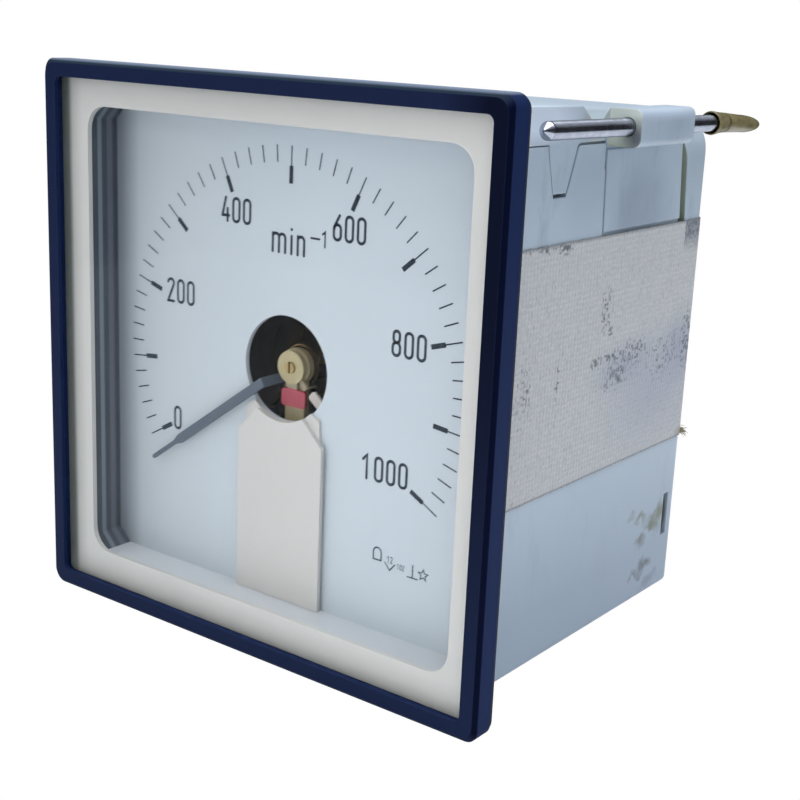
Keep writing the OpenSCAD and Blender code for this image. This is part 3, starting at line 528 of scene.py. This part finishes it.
# painted shadow of the rod, dark on the block face beside it
face = tinted_oval(tree, face, place, (48.6, 29, 41), (2.4, 9, 3.4), "#60656b", soft=0.8)
colour = add(tree, "MixRGB", Fac=block_face, Color1=colour, Color2=face)
fine = add(tree, "TexNoise", Vector=place, Scale=1000 / 0.4, Detail=2)
round_edge = add(tree, "Bevel", samples=6, Radius=0.0004)
bump = add(tree, "Bump", Strength=0.1, Distance=0.00004, Height=fine.outputs["Fac"],
           Normal=round_edge)
put(tree, shader, Base_Color=colour, Normal=bump, Roughness=0.42, Subsurface_Weight=0.08,
    Subsurface_Radius=(0.001, 0.001, 0.001))
dress(case_ps, "case", "clamp_top", "clamp_bottom")


# Movement
# Pressed and blackened steel parts around a cast magnet, brass bridges and jewel screws,
# and a coil of enamelled copper wire between two bronze hairsprings.

# phosphated steel: blue-black fine crystals, hardly metallic. They are drawn 0.4 mm wide,
# coarser than the real ones, so that they show.
black_steel, tree, shader, place = new_material("phosphated_steel")
crystal = add(tree, "TexVoronoi", Vector=place, Scale=1000 / 0.4)
colour = add(tree, "MixRGB", Fac=crystal.outputs["Distance"], Color1="#060d18", Color2="#101a28")
put(tree, shader, Base_Color=colour, Metallic=0.15, Roughness=0.3, Specular_IOR_Level=0.12)
dress(black_steel, "movement_plate", "yoke")

# sand-cast magnet alloy: dull grey metal with a rough skin
magnet_cast, tree, shader, place = new_material("cast_magnet_alloy")
sand = add(tree, "TexNoise", Vector=place, Scale=1000 / 0.5, Detail=4)
bump = add(tree, "Bump", Strength=0.4, Distance=0.0001, Height=sand.outputs["Fac"])
put(tree, shader, Base_Color="#54565c", Metallic=0.9, Roughness=0.55, Normal=bump)
dress(magnet_cast, "magnet")

# soft iron from the lathe: bright grey rings, drawn coarser than the real feed so that they show.
# A wave texture of scale s repeats every pi / (10 s) metres.
wave_mm = 100 * math.pi  # the scale of a wave that repeats every millimetre
turned_iron, tree, shader, place = new_material("turned_soft_iron")
feed = add(tree, "TexWave", Vector=place, wave_type="RINGS", rings_direction="Y",
           Scale=wave_mm / 0.283, Distortion=0.4)
bump = add(tree, "Bump", Strength=0.25, Distance=0.00004, Height=feed.outputs["Fac"])
put(tree, shader, Base_Color="#646d79", Metallic=1.0, Roughness=0.26, Normal=bump)
dress(turned_iron, "core")

# nickel plate: warm white metal, wiped to an uneven gloss
nickel, tree, shader, place = new_material("nickel_plated_steel")
wipe = add(tree, "TexNoise", Vector=place, Scale=1000 / 1.2, Detail=3)
rough = add(tree, "MapRange", Value=wipe.outputs["Fac"], To_Min=0.2, To_Max=0.42)
put(tree, shader, Base_Color="#c9cbca", Metallic=1.0, Roughness=rough)
dress(nickel, "plate_screws", "yoke_screws", "bridge_screws", "terminal_washers", "spindle")

# turned brass, tarnished in patches
brass = mottled("turned_brass", 2, "#b29c70", "#8e7b53", detail=4, Metallic=1.0, Roughness=0.33)
dress(brass, "front_jewel", "rear_bridge", "rear_jewel", "terminal_studs", "terminal_nuts",
      "balance_weights")

# brass sheet brushed one way, in lines 0.33 mm wide and 3.9 mm long, under a pale lacquer that
# takes away most of the metal's gleam
bridge_brass, tree, shader, place = new_material("lacquered_brass_sheet")
brush = add(tree, "Mapping", Vector=place, Scale=[1000 / size for size in (0.333, 0.333, 3.85)])
lines = add(tree, "TexNoise", Vector=brush, Scale=1)
colour = add(tree, "MixRGB", Fac=lines.outputs["Fac"], Color1="#b5aa86", Color2="#9a8f6c")
put(tree, shader, Base_Color=colour, Metallic=0.3, Roughness=0.4)
dress(bridge_brass, "front_bridge", "lock_nut")

# rolled bronze strip: brown and bright
bronze = mottled("phosphor_bronze_strip", 1.5, "#8d7450", "#a98c60", Metallic=1.0, Roughness=0.25)
dress(bronze, "hairsprings")

# fine wire wound side by side under a dark varnish, drawn thicker than it is so that it shows
copper_wire, tree, shader, place = new_material("varnished_copper_wire")
turns = add(tree, "TexWave", Vector=place, bands_direction="DIAGONAL", Scale=wave_mm / 0.408,
            Distortion=0.3)
bump = add(tree, "Bump", Strength=0.5, Distance=0.00005, Height=turns.outputs["Fac"])
colour = add(tree, "MixRGB", Fac=turns.outputs["Fac"], Color1="#1d1a1f", Color2="#3b3335")
put(tree, shader, Base_Color=colour, Normal=bump, Metallic=0.5, Roughness=0.3)
dress(copper_wire, "coil")

# a tinned tag on pressboard: pale, greyish and dull
tag_board = mottled("tinned_tag_on_pressboard", 1.0, "#bdb5b1", "#a9a19c", Roughness=0.5)
dress(tag_board, "lead_tag")


# Pointer and zero lever
# The pointer is aluminium sheet sprayed matt slate. The lever that sets the zero is moulded
# plastic, beige around the bearing and painted red on the tail below it.

# sprayed paint: matt, with the faint mottle of the droplets
slate = mottled("matt_slate_paint", 0.3, "#434f5c", "#515d6b", Roughness=0.6)
dress(slate, "pointer")

# brushed-on red paint, slightly uneven, with the bare beige plastic above it
red_ps, tree, shader, place = new_material("red_painted_polystyrene")
tint = add(tree, "TexNoise", Vector=place, Scale=1000 / 1.5)
red = add(tree, "MixRGB", Fac=tint.outputs["Fac"], Color1="#a8394a", Color2="#8d2c3c")
height = add(tree, "SeparateXYZ", Vector=place)
bare = add(tree, "Math", operation="GREATER_THAN", i0=height.outputs["Z"], i1=-0.0037)
colour = add(tree, "MixRGB", Fac=bare, Color1=red, Color2="#8f866c")
put(tree, shader, Base_Color=colour, Roughness=0.35)
dress(red_ps, "zero_lever")


# Terminal board
# A brown paper laminate plate with a coated resistor and a small blue trimmer. Two red
# wires with soft insulation lead to it from the movement.

# phenolic laminate: brown, with the paper's fibres running one way under a slight gloss
laminate, tree, shader, place = new_material("phenolic_paper_laminate")
fibre = add(tree, "Mapping", Vector=place, Scale=[1000 / size for size in (1.11, 1.11, 5)])
lines = add(tree, "TexNoise", Vector=fibre, Scale=1, Detail=4)
colour = add(tree, "MixRGB", Fac=lines.outputs["Fac"], Color1="#6b4a26", Color2="#8a6234")
put(tree, shader, Base_Color=colour, Roughness=0.4)
dress(laminate, "terminal_board")

# a lacquered resistor body, beige with a brown ring every 3.8 mm
coated, tree, shader, place = new_material("lacquered_resistor_body")
ring = add(tree, "TexWave", Vector=place, bands_direction="X", Scale=wave_mm / 3.77)
band = add(tree, "Math", operation="GREATER_THAN", i0=ring.outputs["Fac"], i1=0.82)
colour = add(tree, "MixRGB", Fac=band, Color1="#c8b088", Color2="#7a3a24")
put(tree, shader, Base_Color=colour, Roughness=0.35)
dress(coated, "resistor")

# moulded epoxy: plain blue with a low gloss
blue_epoxy = mottled("moulded_blue_epoxy", 1.0, "#2f6aa5", "#255788", Roughness=0.3)
dress(blue_epoxy, "trimmer")

# extruded PVC on the wires: brick red and soft looking
soft_pvc = mottled("soft_red_pvc", 2.0, "#9c2a2a", "#822020", Roughness=0.45)
wire_r = 0.55
stops = ((22.5, 10.2, -16), (22.5, 30, -16), (21.5, 52.2, -15), (10.8, 56.4, -3.2), (10, 61.1, -2))
for side in (-1, 1):
    curve = bpy.data.curves.new("lead_wire", "CURVE")
    curve.dimensions = "3D"
    curve.bevel_depth = wire_r / 1000
    curve.bevel_resolution = 4
    curve.use_fill_caps = True
    spline = curve.splines.new("BEZIER")
    spline.bezier_points.add(len(stops) - 1)
    for knot, (x, y, z) in zip(spline.bezier_points, stops):
        knot.co = (side * x / 1000, y / 1000, z / 1000)
        knot.handle_left_type = knot.handle_right_type = "AUTO"
    curve.materials.append(soft_pvc)
    wire = bpy.data.objects.new("lead_wire_left" if side < 0 else "lead_wire_right", curve)
    bpy.context.scene.collection.objects.link(wire)
    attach(wire, "case_assembly")
    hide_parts("leads")


# Woven tape
# A strip of cotton cloth tape 40 mm wide, stuck on the right side of the case from behind
# the frame to round the rear edge. It is grey with handling and its cut edges fray.
rear_y, corner_r, cloth_t, glue_t, tape_start = 66.2, 2.0, 0.26, 0.02, 1.6
side_rows, side_step, bend_rows, back_rows, back_step = 179, 0.35, 10, 15, 0.4
lift = 0.25  # the case and what hangs on it sit this much higher than the frame
tape_low, tape_high = -14.9 + lift, 25.1 + lift


def tape_path(offset):
    """Plan of the tape: points (x, y) along its length, at an offset outwards from the case."""
    cx, cy, r = case_half - corner_r, rear_y - corner_r, corner_r + offset
    run = [(case_half + offset, tape_start + side_step * k) for k in range(side_rows)]
    angles = [math.pi / 2 * k / (bend_rows - 1) for k in range(bend_rows)]
    turn = [(cx + r * math.cos(a), cy + r * math.sin(a)) for a in angles]
    back = [(cx - back_step * k, rear_y + offset) for k in range(1, back_rows + 1)]
    return run + turn + back


outer, inner = tape_path(cloth_t), tape_path(glue_t)
rows = 101
jitter = random.Random(11)
fray_low = [0.10 * jitter.random() for _ in outer]
fray_high = [0.14 * jitter.random() for _ in outer]
points, faces = [], []
for path in (outer, inner):
    for k, (x, y) in enumerate(path):
        low, high = tape_low + fray_low[k], tape_high - fray_high[k]
        points += [(x, y, low + (high - low) * j / (rows - 1)) for j in range(rows)]
n = len(outer)
layer = n * rows
for k in range(n - 1):
    for a in range(k * rows, (k + 1) * rows - 1):
        faces.append((a, a + rows, a + rows + 1, a + 1))
        faces.append((layer + a, layer + a + 1, layer + a + rows + 1, layer + a + rows))
# the four cut edges, as one way round the outer layer
around = [k * rows for k in range(n)] + [layer - rows + j for j in range(1, rows)]
around += [k * rows + rows - 1 for k in reversed(range(n - 1))] + list(reversed(range(1, rows - 1)))
faces += [(a, layer + a, layer + b, b) for a, b in zip(around, around[1:] + around[:1])]

# cotton cloth: matt, with warp and weft threads that wander a little. A wave repeats after two
# threads. Each thread comes up to the surface in floats about twice as long as wide.
cotton, tree, shader, place = new_material("woven_cotton_tape")
thread_w, float_l, float_w, through = 0.45, 0.7, 0.38, 2
wavy = add(tree, "TexNoise", Vector=place, Scale=1000 / 6, Detail=3)
shift = add(tree, "VectorMath", operation="SCALE", i0=wavy.outputs["Color"], Scale=thread_w / 1000)
laid = add(tree, "VectorMath", operation="ADD", i0=place, i1=shift)
warp, weft = [add(tree, "TexWave", Vector=laid, bands_direction=way, Distortion=1.2, Detail=2,
                  Scale=wave_mm / (2 * thread_w)) for way in "ZY"]
weave = add(tree, "Math", operation="MAXIMUM", i0=warp.outputs["Fac"], i1=weft.outputs["Fac"])
cross = add(tree, "Math", operation="MULTIPLY", i0=warp.outputs["Fac"], i1=weft.outputs["Fac"])
colour = add(tree, "MixRGB", Fac=cross, Color1="#a4a8ad", Color2="#bdbfc1")
aged = add(tree, "TexNoise", Vector=place, Scale=1000 / 33.3, Detail=4)
colour = add(tree, "MixRGB", Fac=aged.outputs["Fac"], Color1=colour, Color2="#b3b4b3")
# each thread float is a little darker or lighter than the next
floats = [add(tree, "VectorMath", operation="SNAP", i0=laid, i1=[side / 1000 for side in size])
          for size in ((through, float_l, float_w), (through, float_w, float_l))]
along, upright = [add(tree, "TexWhiteNoise", Vector=cell) for cell in floats]
shade = add(tree, "MapRange", Value=along.outputs["Value"], To_Max=0.7)
colour = add(tree, "MixRGB", Fac=shade, Color1=colour, Color2="#9ea2a8")
# soft bluish smudges, and the olive foot of the frayed corner
for y, z, reach, tint in ((61, 2.5, (6, 9, 8), "#858da0"), (40, 2.5, (3, 13, 5), "#8f95a3"),
                          (52, -3, (3, 22, 13), "#9499a8"), (65.5, -14, (3, 3.4, 2), "#6d6248")):
    colour = tinted_oval(tree, colour, place, (case_half, y, z), reach, tint, soft=0.9, share=0.75)
# dirt has caught on single floats: few everywhere, many in some places
crowd = add(tree, "Math", operation="MULTIPLY", i0=aged.outputs["Fac"], i1=0.14)
for y, z, reach, amount in ((12.9, 24.6, (3, 1.8, 1.1), 0.6), (18.6, 24.5, (3, 3.4, 1.6), 0.65),
                            (14, 25, (3, 13, 0.9), 0.4), (33, 13, (3, 3.4, 6.5), 0.32),
                            (34.6, 9.2, (3, 1.6, 1.6), 0.45), (30.6, 4.4, (3, 2.4, 1.5), 0.6),
                            (36.5, 4.9, (3, 6.5, 1.3), 0.5), (44, 4.6, (3, 12, 4.5), 0.34),
                            (38, 1.2, (3, 9, 4.4), 0.32), (64, 4, (6, 4.6, 9), 0.4),
                            (55, 2, (4, 10, 7), 0.28), (9, 3, (3, 4.6, 8), 0.25),
                            (18.7, 3.6, (3, 1.1, 4), 0.42)):
    more = patch(tree, place, (case_half, y, z), reach, 0.9)
    more = add(tree, "Math", operation="MULTIPLY", i0=more, i1=amount)
    crowd = add(tree, "Math", operation="MAXIMUM", i0=crowd, i1=more)
for draw in (along, upright):
    over = add(tree, "Math", operation="SUBTRACT", i0=crowd, i1=draw.outputs["Value"])
    caught = add(tree, "MapRange", Value=over, From_Max=0.25, To_Max=0.75)
    colour = add(tree, "MixRGB", Fac=caught, Color1=colour, Color2="#4c5159")
# one sooty patch with a sharp front edge at the upper rear corner
height = add(tree, "SeparateXYZ", Vector=place)
sharp = add(tree, "MapRange", Value=height.outputs["Y"], From_Min=0.0588, From_Max=0.0592)
falling = add(tree, "MapRange", Value=height.outputs["Z"], From_Min=0.0195, From_Max=0.0232,
              To_Max=0.95)
soot = add(tree, "Math", operation="MULTIPLY", i0=sharp, i1=falling)
streaky = add(tree, "MapRange", Value=along.outputs["Value"], To_Min=0.6)
soot = add(tree, "Math", operation="MULTIPLY", i0=soot, i1=streaky)
colour = add(tree, "MixRGB", Fac=soot, Color1=colour, Color2="#4c5464")
# the two cut edges are dark with adhesive
middle_z, half_w = (tape_low + tape_high) / 2000, (tape_high - tape_low) / 2000
middle = add(tree, "Math", operation="SUBTRACT", i0=height.outputs["Z"], i1=middle_z)
out = add(tree, "Math", operation="ABSOLUTE", i0=middle)
edge = add(tree, "MapRange", Value=out, From_Min=half_w - 0.0006, From_Max=half_w - 0.0001,
           To_Max=0.8)
colour = add(tree, "MixRGB", Fac=edge, Color1=colour, Color2="#6a6c70")
bump = add(tree, "Bump", Strength=0.5, Distance=0.0001, Height=weave)
put(tree, shader, Base_Color=colour, Normal=bump, Roughness=0.9, Sheen_Weight=0.15)
tape = mesh_piece("woven_tape", points, faces, "case_assembly", cotton)
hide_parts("tape")

# loose brown threads at the lower rear corner, dull and a little uneven
fray = mottled("frayed_cotton_thread", 0.5, "#6d6248", "#9c947c", Roughness=0.9)
points, faces = [], []
strands, thick = 34, 0.07
for _ in range(strands):
    start = Vector((case_half - 0.5 * jitter.random(), rear_y - 0.2 - 1.2 * jitter.random(),
                    tape_low + 0.2 + 1.3 * jitter.random()))
    heading = Vector((0.5 + 0.8 * jitter.random(), 0.9 * jitter.random(),
                      -0.5 + 1.0 * jitter.random()))
    heading.normalize()
    length, droop = 0.7 + 0.8 * jitter.random(), 0.5 * jitter.random()
    faces += [tuple(len(points) + v for v in face) for face in joined(4, 3)]
    for t in (0, 1 / 3, 2 / 3, 1):
        middle = start + heading * length * t - Vector((0, 0, droop * t * t))
        for a in (0, math.tau / 3, 2 * math.tau / 3):
            away = Vector((0.4 * math.cos(a), math.cos(a), math.sin(a))) * thick * (1 - 0.6 * t)
            points.append(middle + away)
tuft = mesh_piece("frayed_corner", points, faces, "case_assembly", fray)


# Clamp screws
# Zinc-plated steel rod with a rolled thread of 0.5 mm pitch and a turned point that
# presses on the back of the panel.
def lathe(name, profile, body, material, centre, tilt, wobble, bend=None):
    """A turned piece about a line along Y through centre, from (y, radius) points in millimetres.
    wobble changes the radius at a place, and bend is the height that a whole section gains."""
    points, n = [], 32
    cx, cy, cz = centre
    c, s = math.cos(tilt), math.sin(tilt)
    for y, r in profile:
        for k in range(n):
            a = math.tau * k / n
            reach = wobble(y, a, r)
            dy, dz = y - cy, reach * math.sin(a) + (bend(y) if bend else 0)
            points.append((cx + reach * math.cos(a), cy + dy * c + dz * s, cz - dy * s + dz * c))
    last = len(points) - n
    faces = joined(len(profile), n) + [tuple(range(n)), tuple(reversed(range(last, last + n)))]
    piece = mesh_piece(name, points, faces, body, material)
    for face in piece.data.polygons:
        face.use_smooth = len(face.vertices) == 4
    return piece


rod_x, rod_z, rod_r, rod_tip, rod_l, rod_tilt = 47.0, 42.1, 1.4, 4.6, 62.0, 0.5
head_y, head_l, pitch, ridge = 29, 18.4, 0.5, 0.11
block_mid = head_y + head_l / 2


def thread(y, a, r):
    """Radius of the rolled thread at a place along the rod and an angle round it. The point and
    the chamfered end have no ridges."""
    if r < rod_r - 0.01:
        return r
    turn = (y / pitch + a / math.tau) % 1.0
    return r - ridge * (1 - abs(2 * turn - 1))


# zinc plate: bluish grey, from bright to clouded
zinc, tree, shader, place = new_material("zinc_plated_steel")
patina = add(tree, "TexNoise", Vector=place, Scale=1000 / 1.5, Detail=5, Roughness=0.7)
colour = add(tree, "MixRGB", Fac=patina.outputs["Fac"], Color1="#747b8b", Color2="#c6cbd6")
rough = add(tree, "MapRange", Value=patina.outputs["Fac"], To_Min=0.1, To_Max=0.3)
put(tree, shader, Base_Color=colour, Roughness=rough, Metallic=1.0)

point = ((0, 0.2), (0.02, 0.22), (0.92, 1.16), (0.95, 1.19), (0.98, 1.22),
         (1.12, rod_r - 0.03), (1.15, rod_r))
point_l, end_l, step = 1.3, 0.3, 0.1
shank = [(rod_tip + y, r) for y, r in point]
shank += [(rod_tip + point_l + step * k, rod_r)
          for k in range(int((rod_l - point_l - end_l) / step))]
shank += [(rod_tip + rod_l - 0.1, rod_r - 0.15), (rod_tip + rod_l, rod_r - 0.3)]
for name, side, body in (("screw_top", 1, "screw_top_body"),
                         ("screw_bottom", -1, "screw_bottom_body")):
    centre = (side * rod_x, block_mid, side * rod_z + lift)
    screw = lathe("threaded_" + name, shank, body, zinc, centre, math.radians(rod_tilt * side),
                  wobble=thread)
    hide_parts(name)


# Screw caps
# Soft vinyl end caps, once clear and now olive brown, pushed over the end of each screw. Each
# has an open mouth with a rolled rim, a crease, and a long flattened tail that has bent a
# little towards the middle of the case.
mouth, crease, cap_end, cap_r = 58.1, 62.9, 77.9, 1.7
# aged vinyl: half clear and waxy, olive brown in clouds, with dark lines along it
vinyl, tree, shader, place = new_material("yellowed_soft_vinyl")
cloud = add(tree, "TexNoise", Vector=place, Scale=1000 / 3, Detail=3)
colour = add(tree, "MixRGB", Fac=cloud.outputs["Fac"], Color1="#5a5234", Color2="#857d5c")
stretch = add(tree, "Mapping", Vector=place, Scale=[1000 / size for size in (0.714, 3.33, 0.714)])
lines = add(tree, "TexNoise", Vector=stretch, Scale=1, Detail=3)
dark = add(tree, "MapRange", Value=lines.outputs["Fac"], From_Min=0.55, From_Max=0.75, To_Max=0.6)
colour = add(tree, "MixRGB", Fac=dark, Color1=colour, Color2="#3a3523")
# painted shade in the crease: a dark ring around it
depth = add(tree, "SeparateXYZ", Vector=place)
ring = add(tree, "Math", operation="COMPARE", i0=depth.outputs["Y"], i1=crease / 1000, i2=0.0003)
colour = add(tree, "MixRGB", Fac=ring, Color1=colour, Color2="#473f28")
put(tree, shader, Base_Color=colour, Roughness=0.25, Subsurface_Weight=0.3,
    Subsurface_Radius=(0.002, 0.0016, 0.0006))


def soft_shape(y, a, r):
    """Radius of a cap: the tail is flattened from above, and the sleeve is nowhere quite round."""
    flat = min(1.0, max(0.0, (y - crease) / 5))
    return r * (1 - 0.10 * flat * math.sin(a) ** 2 + 0.015 * math.sin(2 * a + 0.4 * y))


tail = cap_end - crease
lip = ((5, 1.45), (2.6, 1.45), (1.2, 1.62), (0.15, 1.74), (0, 1.83), (0.1, 1.93), (0.5, 1.98),
       (1.4, 1.9), (3, cap_r + 0.03))
waist = ((-0.5, 0), (-0.15, 0.05), (0, 0.16), (0.15, 0.05), (0.6, 0))
sleeve = [(mouth + y, r) for y, r in lip] + [(crease + y, cap_r - deep) for y, deep in waist]
sleeve += [(crease + tail * (0.4 + 0.6 * math.sin(a)), cap_r * math.cos(a) ** 0.9)
           for a in (math.radians(6 * k) for k in range(15))] + [(cap_end, 0.12)]
bend_slope = math.tan(math.radians(2.5))
for name, side, body in (("cap_top", 1, "cap_top_body"), ("cap_bottom", -1, "cap_bottom_body")):
    centre = (side * rod_x, block_mid, side * rod_z + lift)
    cap = lathe("vinyl_" + name, sleeve, body, vinyl, centre, math.radians(rod_tilt * side),
                wobble=soft_shape,
                bend=lambda y, side=side: -side * max(0.0, y - crease) * bend_slope)
    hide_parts(name)


# Studio
# A white floor and backdrop, daylight from a large lamp overhead and a weaker one in front,
# at a level that leaves each colour as it is written. Polished things mirror a dim room that
# is bright only above.
white, tree = new_material("studio_white")[:2]
lit = add(tree, "BsdfDiffuse", Color="#f4f5f7")
glow = add(tree, "Emission", Color="#ffffff", Strength=1.0)
path = add(tree, "LightPath")
both = add(tree, "MixShader", i0=path.outputs["Is Camera Ray"], i1=lit, i2=glow)
put(tree, tree.nodes["Material Output"], Surface=both)
floor_z, floor_r = -0.0482, 0.3
mesh = bpy.data.meshes.new("floor")
corners = ((-1, -1), (1, -1), (1, 1), (-1, 1))
mesh.from_pydata([(sx * floor_r, sy * floor_r, floor_z) for sx, sy in corners], [], [(0, 1, 2, 3)])
mesh.materials.append(white)
floor = bpy.data.objects.new("floor", mesh)
bpy.context.scene.collection.objects.link(floor)

world = bpy.data.worlds.new("studio")
bpy.context.scene.world = world
world.use_nodes = True
tree = world.node_tree
path = add(tree, "LightPath")
plain = add(tree, "Math", operation="MAXIMUM", i0=path.outputs["Is Camera Ray"],
            i1=path.outputs["Is Transmission Ray"])
direction = add(tree, "SeparateXYZ", Vector=add(tree, "TexCoord").outputs["Generated"])
height = add(tree, "MapRange", Value=direction.outputs["Z"], From_Min=0.4, From_Max=0.85,
             To_Min=0.04, To_Max=1.1)
room = add(tree, "Background", Color="#eef2f8", Strength=height)
soft = add(tree, "Background", Color="#eef2f8", Strength=0.74)
glossy = add(tree, "MixShader", i0=path.outputs["Is Glossy Ray"], i1=soft, i2=room)
bright = add(tree, "Background", Color="#ffffff", Strength=1.0)
both = add(tree, "MixShader", i0=plain, i1=glossy, i2=bright)
put(tree, tree.nodes["World Output"], Surface=both)

for name, place, size, power, colour in (("top_lamp", (0.05, -0.04, 0.6), 0.6, 4.4, "#ffffff"),
                                         ("front_lamp", (-0.1, -0.6, 0.2), 0.5, 0.3, "#fffdf8")):
    lamp = bpy.data.objects.new(name, bpy.data.lights.new(name, "AREA"))
    lamp.data.size = size
    lamp.data.energy = power
    lamp.data.color = linear(colour)[:3]
    lamp.location = place
    lamp.rotation_euler = (Vector((0, 0.03, 0)) - Vector(place)).to_track_quat("-Z", "Y").to_euler()
    bpy.context.scene.collection.objects.link(lamp)

bpy.context.scene.view_settings.view_transform = "Standard"
